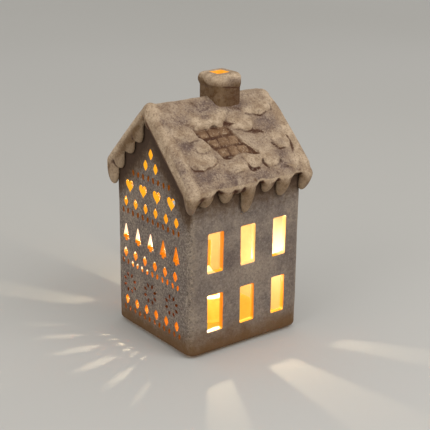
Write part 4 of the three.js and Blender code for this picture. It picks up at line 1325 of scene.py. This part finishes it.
for end in (-1, 1):
    fall = ridge_fall if end > 0 else 0.0
    bulge = 1.3 * soft_step(way_down, 25.0, 55.0) if end > 0 else 0.0
    sunk = ROLL_SUNK + 1.2 * soft_step(way_down, 16.0, 4.0) + fall
    roll = bead(-1, end * gx - ROLL_OUT - bulge, above + sunk, ROLL_RADII, ROLL_END)
    roof = soft_union(roof, roll, 3.2)
    rim = bead(1, end * gx - RIM_OUT, above + RIM_SUNK + fall, RIM_RADII, RIM_END)
    tucked = FAR_OFF
    hung = FAR_OFF
    for across, bottom, half in FINGERS:
        tall = 0.5 * (ROOF_APEX - SLOPE * (across - 0.4 * half) - bottom)
        lump_middle = (end * LUMP_OUT, -across, bottom + 2.5 + tall)
        lump = blunt_field(roof_grid, lump_middle, (LUMP_THICK, half + 1.2, tall))
        tucked = soft_union(tucked, lump, 3.0)
        finger_middle = (end * FINGER_OUT, across, bottom + tall)
        finger = blunt_field(roof_grid, finger_middle, (FINGER_THICK, half, tall))
        hung = soft_union(hung, finger, 1.2)
    back_lump = oval_field(roof_grid, (end * 53.8, 47.8, 123.4), (3.5, 6.7, 11.0))
    hung = soft_common(soft_union(hung, back_lump, 1.2), above + fall + 1.6, 2.0)
    tucked = soft_common(tucked, above + fall + 5.0, 2.0)
    roof = soft_union(soft_union(np.minimum(roof, tucked), hung, 1.6), rim, 3.0)
    back_drip = drip_field(roof_grid, (end * 49.5, 50.8, 125.0), (5.6, 4.4, 10.8), 6.0)
    roof = soft_union(roof, back_drip, 2.5)
    half, lean = FRONT_CORNERS[end]
    front_drip = drip_field(roof_grid, (end * 53.2, -50.7, 125.0), (half, 4.5, 11.2), 6.0, lean)
    roof = soft_union(roof, front_drip, 2.5)
print(len(FINGERS), "fingers on each verge")

# %% [markdown]
# ### Room for the house and the flue
#
# Last, the walls with a small gap round them are taken away from the field, and so is the flue. What is
# left is turned into the roof's mesh.

# %% Draw the roof
ROOF_FLUE = (5.0, 5.0, 2.0)
house = rounded_square(gx, gy, HALF_LENGTH, HALF_WIDTH, CORNER) - WALL_GAP
roof = np.maximum(roof, -np.maximum(house, -underside))
roof = np.maximum(roof, -rounded_square(gx - CHIMNEY_ALONG, gy, *ROOF_FLUE))
snow_roof = surface_of("snow_roof", roof, roof_low, VOXEL)
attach(snow_roof, "roof")
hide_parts("roof_front_slab", "roof_back_slab")

# %% [markdown]
# ### The chimney
#
# The stack is a rounded square tube with a swollen cap of snow, which hangs lower towards the plain gable,
# and an open flue. It is grown in the same way as the roof, on a finer grid, and its foot is sunk into the
# snow so that no joint shows.

# %% Grow the chimney
CHIMNEY_TOP = 199.0
FINE = 0.6
SHAFT = (12.0, 12.0, 4.8)
CAP = (13.2, 13.2, 6.2)
CAP_ROUND = 4.6
CAP_SAG = 0.14
CAP_REACH = 13.0
STACK_FLUE = (5.2, 5.2, 1.0)
FOOT_SUNK = 2.5
stack_low = np.array([CHIMNEY_ALONG - 15.0, -15.0, 164.0])
cx, cy, cz = even_grid(stack_low, [51, 51, 63], FINE)
from_axis = cx - CHIMNEY_ALONG
shaft = rounded_square(from_axis - 0.5, cy, *SHAFT)
shaft = np.maximum(shaft + 0 * cz, cz - CHIMNEY_TOP + 3.0)
sag = CAP_SAG * (from_axis + CAP_REACH)
cap_middle = CHIMNEY_TOP - 4.4 + 0.03 * from_axis - 0.5 * sag
cap_side = rounded_square(from_axis, cy, *CAP)
cap_rise = np.maximum(np.abs(cz - cap_middle) - 0.1 - 0.5 * sag, 0)
cap = np.sqrt(np.maximum(cap_side + CAP_ROUND, 0) ** 2 + cap_rise**2) - CAP_ROUND
stack = soft_union(shaft, cap, 1.0)
stack_flue = rounded_square(from_axis, cy, *STACK_FLUE) + 0 * cz
stack = soft_common(stack, -stack_flue, 0.8)
over_slope = np.abs(cy) * sine + (cz - ROOF_APEX) * cosine
stack = np.maximum(stack, -(over_slope + FOOT_SUNK))
chimney = surface_of("chimney_stack", stack, stack_low, FINE)
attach(chimney, "roof")
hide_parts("chimney")

# %% [markdown]
# ## Where the wash settles
#
# A brown wash was brushed over the roof and wiped off again, so it stays in every hollow. Instead of
# painting that by hand, each vertex is compared with a smoothed copy of the mesh: a point that lies
# under it is in a hollow, and one above it is on a worn edge.


# %% Measure the hollows
def smoothed(places, pairs, times):
    """Mesh points moved to the middle of their neighbours, as often as told."""
    number = len(places)
    links = np.bincount(pairs.ravel(), minlength=number)[:, None]
    for _ in range(times):
        total = np.stack(
            [
                np.bincount(pairs[:, 0], places[pairs[:, 1], axis], number)
                + np.bincount(pairs[:, 1], places[pairs[:, 0], axis], number)
                for axis in range(3)
            ],
            -1,
        )
        places = 0.5 * places + 0.5 * total / links
    return places


def read_mesh(rows, key, width, kind=float):
    table = np.empty(len(rows) * width, kind)
    rows.foreach_get(key, table)
    return table.reshape(-1, width)


def hollows_of(made):
    """Places and facings of a mesh's points, and how hollow it is there, from -1 to 1."""
    places = read_mesh(made.data.vertices, "co", 3) / MM
    ways = read_mesh(made.data.vertices, "normal", 3)
    pairs = read_mesh(made.data.edges, "vertices", 2, int)
    near = np.sum((smoothed(places, pairs, 6) - places) * ways, 1)
    wide = np.sum((smoothed(places, pairs, 40) - places) * ways, 1)
    return places.T, ways.T, np.clip(near / 0.2 + wide / 1.3, -1, 1)


(x, y, z), (_, _, face_z), hollows = hollows_of(snow_roof)
print("hollows in", int((hollows > 0.5).sum()), "of", len(hollows), "places of the roof")

# %% [markdown]
# ### Paint on the roof
#
# The bare shingles, the strokes and the stains come from the relief tables, where the roof faces up.
# Everything that hangs is browner, and the back fingers nearest the ridge carry painted shade as well.
# Painted shadow darkens the undersides at the eaves and under the front verge's roll, the wash in the
# hollows between drips and fingers is deepened with painted shade, and the underside over the room is
# marked so that it can glow.

# %% Paint the roof
up_slope = face_z > 0.25
slope_down = np.abs(y) * cosine - (z - ROOF_APEX) * sine
drop = ROOF_APEX - SLOPE * np.abs(y) - z
at_eave = np.abs(y) > 49.0


def on_slopes(front_table, back_table):
    """Values of two slope tables at the roof's points, nought where the roof doesn't face up."""
    front = read_table(blurred(front_table, 0.5), x, slope_down)
    back = read_table(blurred(back_table, 0.5), x, slope_down)
    return np.where(up_slope, np.where(y < 0, front, back), 0.0)


bare_here = on_slopes(np.maximum(bare, gash), 0 * bare)
dark_here = np.maximum(on_slopes(front_creases, back_creases), on_slopes(joints_and_shadow, 0 * joints_and_shadow))
on_verge = soft_step(np.abs(x), 45.0, 50.0)
thin = np.where(up_slope, 1 - np.clip(on_slopes(front_snow, back_snow) / 1.2, 0, 1), 0.0) * (1 - on_verge)
# The brown on the back fingers is wash, deepened as painted shade on those nearest the ridge.
on_back_end = soft_step(drop, 3.0, 10.0) * (1.0 - 0.5 * soft_step(y, 24.0, 48.0))
on_end = np.where(y < 0, soft_step(drop, 9, 14), on_back_end)
hanging = np.where(at_eave, soft_step(drop, 2, 10), on_end * (face_z < 0.5))
# Painted shadow on the downward faces under the eaves and under the front verge's roll, in the dark mask
# with the wash strokes.
under_eave = (np.abs(y) > 48.0) * soft_step(face_z, 0.0, -0.5) * soft_step(z, 121.0, 125.0)
under_roll = 0.8 * (y < 0) * (np.abs(x) > 50.0) * (face_z < 0.6) * soft_step(drop, 9, 14)
dark_here = np.maximum(dark_here, np.maximum(under_eave, under_roll))
# Between the fingers and between the drips the wash in the hollows is deepened with painted shade.
between_fingers = (np.abs(x) > 53.5) * (y > 0) * (face_z < 0.5)
between_drips = at_eave * soft_step(z, 131.0, 126.0)
hollows *= (1 + 0.8 * between_fingers) * (1 - bare_here) * (1 - 0.6 * on_verge * up_slope)
hollows *= 1 + 1.3 * between_drips * (hollows > 0)
in_flue = soft_step(rounded_square(x - CHIMNEY_ALONG, y, *ROOF_FLUE), 0.6, 0.2)
over_room = rounded_square(x, y, HALF_LENGTH, HALF_WIDTH, CORNER) < -WALL
paint(snow_roof, "hollow", np.clip(hollows, -1, 1))
paint(snow_roof, "dark", dark_here)
paint(snow_roof, "bare", bare_here)
paint(snow_roof, "thin", thin)
paint(snow_roof, "hanging", hanging)
paint(snow_roof, "stain", on_slopes(front_stains, back_stains))
paint(snow_roof, "within", np.maximum(in_flue, over_room * soft_step(face_z, -0.5, -0.65)))
print("paint on", len(x), "points of the roof")

# %% [markdown]
# ### Paint on the chimney
#
# The shaft is brown right up to the snow cap, whose edge sinks towards the plain gable and is browner at
# that end. A dark line of painted shadow sits under the cap, painted shade darkens the foot where it
# meets the snow, and a grey patch lies on the cap's front.

# %% Paint the chimney
CAP_EDGE = 191.8
(x, y, z), (face_x, face_y, _), hollows = hollows_of(chimney)
beside = x - CHIMNEY_ALONG
left_face = soft_step(face_x, -0.3, -0.8)
front_face = soft_step(face_y, -0.3, -0.8)
washed_up = 4.2 * left_face * soft_step(y, -3.0, 4.0)
over_edge = z - (CAP_EDGE + washed_up - CAP_SAG * (1 - left_face) * (beside + CAP_REACH))
# The cap is browner towards the plain gable, and a grey patch lies on the right of its front.
browner_far_end = 0.95 * soft_step(beside, -4.0, 5.0) * soft_step(over_edge, 6.5, 2.0)
faint_edge = np.maximum(0.45 * soft_step(over_edge, 6.0, 0.5), browner_far_end)
# Painted shadow under the cap's overhang, and painted shade at the foot where the shaft meets the snow.
shadow_under_cap = 0.8 * soft_spot(over_edge + 0.5, 0.9) * soft_step(beside, -11.0, -4.0)
shade_at_foot = (0.3 + 0.2 * soft_step(beside, -4.0, 8.0)) * soft_step(z, 190.0, 186.0)
grey_cap_patch = 0.75 * front_face * soft_step(beside, -8.0, 0.0) * soft_step(over_edge, 8.5, 5.0)
paint(chimney, "hollow", np.maximum(hollows, -0.3 * soft_step(z, 192.0, 196.0)))
paint(chimney, "hanging", np.maximum(soft_step(over_edge, 1.2, -1.2), faint_edge))
paint(chimney, "dark", np.maximum(shadow_under_cap, shade_at_foot))
paint(chimney, "stain", grey_cap_patch)
paint(chimney, "within", soft_step(rounded_square(beside, y, *STACK_FLUE), 0.5, 0.15))
print("paint on", len(x), "points of the chimney")

# %% [markdown]
# ## The snow finish
#
# Cream slip, matt and slightly gritty, warm on the high places and grey-violet where it is thin, with
# dark brown wash in the hollows, painted shade under the eaves, under the front verge's roll and on the
# hanging parts, and brown bare shingles. The flue and the underside are warm clay with the lamp's light
# from below painted on as a glow. As on the walls, each of these is a coat, and the painted masks say where.

# %% Cream slip with a brown wash
FLUE_GLOW = colour(252, 166, 24)
snow = Finish("snow_slip", Roughness=0.8, Specular_IOR_Level=0.3, Emission_Strength=1.0)
hollow = snow.painted("hollow")
hanging = snow.painted("hanging")
within = snow.painted("within")
mottle = snow.ramp(snow.grain(9.0, 5.0, 0.6), 0.35, 0.68)
grit = snow.grain(1.4, 3.0, 0.75)
streak = snow.ramp(snow.grain(4.5, 5.0, 0.7), 0.4, 0.66)
freckle = snow.ramp(snow.grain(1.7, 4.0, 0.8), 0.47, 0.66)
wash = snow.painted("thin") * 0.5 + snow.painted("stain")
dark = snow.painted("dark") * (0.75 + streak * 0.25 + freckle * 0.15)
snow.coats = snow.mix(colour(160, 134, 107), colour(206, 181, 152), mottle)
snow.coat(104, 84, 77, wash * (0.48 + streak * 0.35 + freckle * 0.5))
snow.coat(120, 95, 80, freckle * 0.46)
snow.coat(88, 58, 18, hanging * (0.68 + streak * 0.28))
shingle = snow.mix(colour(122, 91, 64), colour(152, 120, 90), streak)
snow.coats = snow.mix(snow.coats, shingle, snow.painted("bare") * 0.95)
snow.coat(98, 74, 58, snow.ramp(hollow + (streak - 0.5) * 0.3, 0.15, 0.7) * 0.7)
snow.coat(62, 38, 24, snow.ramp(hollow, 0.55, 1.0) * 0.85)
snow.coat(80, 46, 24, snow.ramp(dark, 0.15, 0.65) * 0.85)
snow.coat(62, 26, 8, snow.ramp(dark, 0.5, 0.95) * 0.92)
snow.coat(202, 179, 151, snow.ramp(hollow, -0.2, -0.9) * 0.3)
snow.coat(88, 70, 56, snow.ramp(grit, 0.54, 0.68) * 0.6)
snow.coat(210, 190, 164, snow.ramp(grit, 0.45, 0.31) * (1 - hanging * 0.9) * 0.5)
snow.feed("Base Color", snow.mix(snow.coats, RUDDY_BUFF, within))
# The lamp's light from below on the flue and the underside, painted on as a glow.
snow.feed("Emission Color", snow.mix(DARK, FLUE_GLOW, within * (0.75 + streak * 0.25)))
snow.bump(grit * 0.5 + streak * 0.5, 0.16)
for made in (snow_roof, chimney):
    made.data.materials.append(snow.material)
print("snow finish:", len(snow.tree.nodes), "nodes")

# %% [markdown]
# ## Felt dots
#
# Under the floor are four dots of pressed felt, which keep the clay off the table. A dot is turned on a
# lathe, as a profile spun round its axis, with a rim that is pressed round and a little frayed. A plain
# cylinder would show a hard edge that felt never has.


# %% Turn the felt dots
def turned(name, profile, middle, sides, fray=0.0, lean=0.0):
    """A profile of radius and height spun round an upright axis; a radius of 0 closes an end."""
    ring_points = []
    ring_faces = []
    rings = []
    foot = profile[0][1]
    tall = max(h for _, h in profile) - foot
    for radius, height in profile:
        first = len(ring_points)
        aside = lean * ((height - foot) / tall) ** 3
        for side in range(sides if radius else 1):
            angle = math.tau * side / sides
            ragged = noise.noise(Vector((7 * math.cos(angle), 7 * math.sin(angle), height)))
            reach = radius * (1 + fray * ragged)
            place = (reach * math.cos(angle) + aside, reach * math.sin(angle), height)
            ring_points.append(Vector(middle) + Vector(place))
        rings.append(list(range(first, len(ring_points))))
    for lower, upper in zip(rings, rings[1:]):
        for i in range(sides):
            turns = [(lower, i), (lower, (i + 1) % sides), (upper, (i + 1) % sides), (upper, i)]
            ring_faces.append(list(dict.fromkeys(ring[turn % len(ring)] for ring, turn in turns)))
    return object_from(name, ring_points, ring_faces)


def two_tone(name, light, dark, size, relief, smooth_share, rough_share, **fixed):
    """A finish that wanders between two near colours and two roughnesses, with a fine relief."""
    made = Finish(name, **fixed)
    spots = made.grain(size, 4.0, 0.6)
    fine = made.grain(size / 6, 2.0, 0.6)
    made.feed("Base Color", made.mix(colour(*dark), colour(*light), made.ramp(spots, 0.3, 0.7)))
    made.feed("Roughness", smooth_share + (rough_share - smooth_share) * fine)
    made.bump(fine, relief)
    return made


felt = two_tone("pressed_felt", (74, 68, 62), (40, 36, 33), 0.9, 0.25, 0.9, 1.0, Sheen_Weight=0.3)
DOT_PROFILE = [
    (0, 0), (5.9, 0), (6.25, 0.12), (6.45, 0.4), (6.5, 0.75), (6.42, 1.1), (6.2, 1.38), (5.8, 1.5), (0, 1.5),
]
DOT_SIDES = 56
DOT_FRAY = 0.018
for end in ("front", "back"):
    for side in ("left", "right"):
        node = f"felt_pad_{end}_{side}"
        low_corner, high_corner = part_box(node)
        middle = (low_corner + high_corner) / 2 / MM
        dot_place = (middle.x, middle.y, 0.0)
        pad = turned(f"felt_dot_{end}_{side}", DOT_PROFILE, dot_place, DOT_SIDES, fray=DOT_FRAY)
        pad.data.materials.append(felt.material)
        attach(pad, "house")
        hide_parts(node)
print("four felt dots of", len(pad.data.polygons), "faces")

# %% [markdown]
# ## The floor slab
#
# The floor is a plain slab of the same clay, so its CAD solid stays. It only gets bare clay, with the
# lamp's glow on its upper face.


# %% Dress the floor slab
def dress(node, finish):
    """Gives a CAD node that stays its finish."""
    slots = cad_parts[node].data.materials
    slots.clear()
    slots.append(finish.material)


FLOOR_GLOW = colour(186, 172, 44)
clay = Finish("bare_clay", Roughness=0.85, Specular_IOR_Level=0.25, Emission_Strength=1.0)
clay_cloud = clay.grain(14.0, 4.0, 0.6)
clay.feed("Base Color", clay.mix(RUDDY_BUFF, BUFF, clay.ramp(clay_cloud, 0.3, 0.7)))
on_top = clay.ramp(clay.axis("Z"), 0.006, 0.0066)
clay.feed("Emission Color", clay.mix(DARK, FLOOR_GLOW, on_top * (0.75 + clay_cloud * 0.25)))
clay.bump(clay.grain(0.9, 3.0, 0.7), 0.12)
dress("floor_slab", clay)
print("floor slab:", len(clay.tree.nodes), "nodes")

# %% [markdown]
# ## The battery light
#
# The light is a moulded tealight: an ivory cup with a dished top that imitates molten wax, and a frosted
# hollow flame over a small lamp. Both show through the windows, so both are turned with soft edges that
# the CAD solids leave out. The thin plastic lets some of the lamp's light through, so both glow.

# %% Turn the cup
low_corner, high_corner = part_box("tealight_case")
CUP_PROFILE = [
    (17.8, 0), (18.7, 0), (18.95, 0.25), (19, 0.7), (19, 2.2), (18.86, 2.4), (18.86, 2.8), (19, 3.0),
    (19, 19.3), (18.9, 19.8), (18.6, 20.2), (18.2, 20.3), (17.8, 20.2), (17.5, 19.9), (17.1, 19.4),
    (16.5, 19.0), (15.4, 18.75), (13.5, 18.7), (7.6, 18.7), (5.2, 18.75), (4.5, 18.85), (4.2, 19.1),
    (4.2, 28.1), (4.0, 28.3), (2.6, 28.3), (2.4, 28.1), (2.4, 17.5), (17.8, 17.5), (17.8, 0),
]
CUP_SIDES = 96
cup = turned("tealight_cup", CUP_PROFILE, (0, 0, low_corner.z / MM), CUP_SIDES)
welded(cup)
# The cup's ivory is tinted gold as painted lamplight; the base and the cap show the plain ivory.
lamplit_cup_finish = two_tone(
    "glowing_ivory", (240, 208, 136), (231, 196, 122), 6.0, 0.02, 0.3, 0.42, Emission_Strength=0.6
)
cup_rise = lamplit_cup_finish.ramp(lamplit_cup_finish.axis("Z"), 0.004, 0.028)
lamplit_cup_finish.feed("Emission Color", lamplit_cup_finish.mix(colour(244, 164, 12), colour(255, 192, 36), cup_rise))
cup.data.materials.append(lamplit_cup_finish.material)
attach(cup, "tealight")
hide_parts("tealight_case")
print("cup of", len(cup.data.polygons), "faces")

# %% Turn the flame
flame_low, flame_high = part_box("flame_tip")
flame_tall = (flame_high.z - flame_low.z) / MM
FLAME_SHARES = [
    (0, 0), (0, 0.6), (0, 0.86), (0.012, 0.905), (0.05, 0.93), (0.1, 0.96), (0.19, 0.995), (0.3, 1),
    (0.42, 0.955), (0.52, 0.88), (0.62, 0.775), (0.72, 0.645), (0.8, 0.52), (0.87, 0.385), (0.93, 0.25),
    (0.97, 0.14), (0.99, 0.07), (1, 0),
]
FLAME_RADIUS = 6.7
FLAME_LEAN = 0.9
FLAME_SIDES = 64
flame_profile = [(share * FLAME_RADIUS, rise * flame_tall) for rise, share in FLAME_SHARES]
flame = turned("frosted_flame", flame_profile, (0, 0, flame_low.z / MM), FLAME_SIDES, lean=FLAME_LEAN)
frosted = Finish("frosted_flame", Emission_Strength=1.6, Specular_IOR_Level=0.35, Roughness=0.55)
frost = frosted.grain(0.6, 2.0)
warm = frosted.ramp(frosted.axis("Z"), 0.026, 0.040) * (0.94 + frost * 0.06)
frosted.feed("Base Color", frosted.mix(colour(255, 206, 132), colour(255, 232, 186), warm))
frosted.feed("Emission Color", frosted.mix(colour(255, 160, 50), colour(255, 226, 150), warm))
frosted.bump(frost, 0.03)
flame.data.materials.append(frosted.material)
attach(flame, "tealight")
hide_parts("flame_tip")
print("flame of", len(flame.data.polygons), "faces")

# %% [markdown]
# ### Small metal and plastic pieces
#
# The lens, the wires, the contacts, the cell, the base, the cap and the switch are small moulded and
# stamped pieces with the right shape already, so their CAD solids stay and get their metal and plastic.

# %% Dress the small pieces
lens = Finish("clear_resin", Emission_Strength=2.0, Roughness=0.15, Coat_Weight=0.4)
lens_shade = lens.ramp(lens.grain(1.4, 2.0), 0.3, 0.7)
lens.feed("Base Color", lens.mix(colour(255, 226, 160), colour(255, 240, 205), lens_shade))
lens.feed("Emission Color", lens.mix(colour(255, 205, 110), colour(255, 226, 150), lens_shade))
ivory = two_tone("ivory_plastic", (240, 232, 212), (231, 220, 196), 6.0, 0.02, 0.3, 0.42)
tin = two_tone("tin_plate", (222, 220, 214), (196, 193, 186), 1.2, 0.02, 0.22, 0.45, Metallic=1.0)
steel = two_tone("cell_steel", (226, 226, 224), (205, 205, 203), 2.5, 0.01, 0.18, 0.35, Metallic=1.0)
dark_plastic = two_tone("dark_plastic", (52, 51, 50), (36, 36, 36), 1.5, 0.03, 0.45, 0.6)
SMALL_PIECES = {
    "led_lens": lens,
    "tealight_base": ivory,
    "battery_cap": ivory,
    "led_lead_negative": tin,
    "led_lead_positive": tin,
    "negative_contact": tin,
    "positive_contact": tin,
    "coin_cell": steel,
    "switch_slider": dark_plastic,
}
for node, finish in SMALL_PIECES.items():
    dress(node, finish)
print(len(SMALL_PIECES), "small pieces dressed")

# %% [markdown]
# ### The lamp itself
#
# Inside the flame a small point lamp gives the crisp beams that fall through the windows and the cut-outs.
# The flame and the lens don't cast shadows, because real frosted plastic lets that light through.

# %% Light the lamp
LAMP_WATTS = 0.45
LAMP_WIDTH = 2.0
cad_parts["led_lens"].visible_shadow = False
flame.visible_shadow = False
lamp_data = bpy.data.lights.new("tealight_lamp", "POINT")
lamp_data.energy = LAMP_WATTS
lamp_data.color = colour(255, 236, 200)[:3]
lamp_data.shadow_soft_size = LAMP_WIDTH * MM
lamp = placed("tealight_lamp", lamp_data)
lamp.location = LAMP_PLACE
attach(lamp, "tealight")
print("lamp of", LAMP_WATTS, "W at", in_mm(LAMP_PLACE))
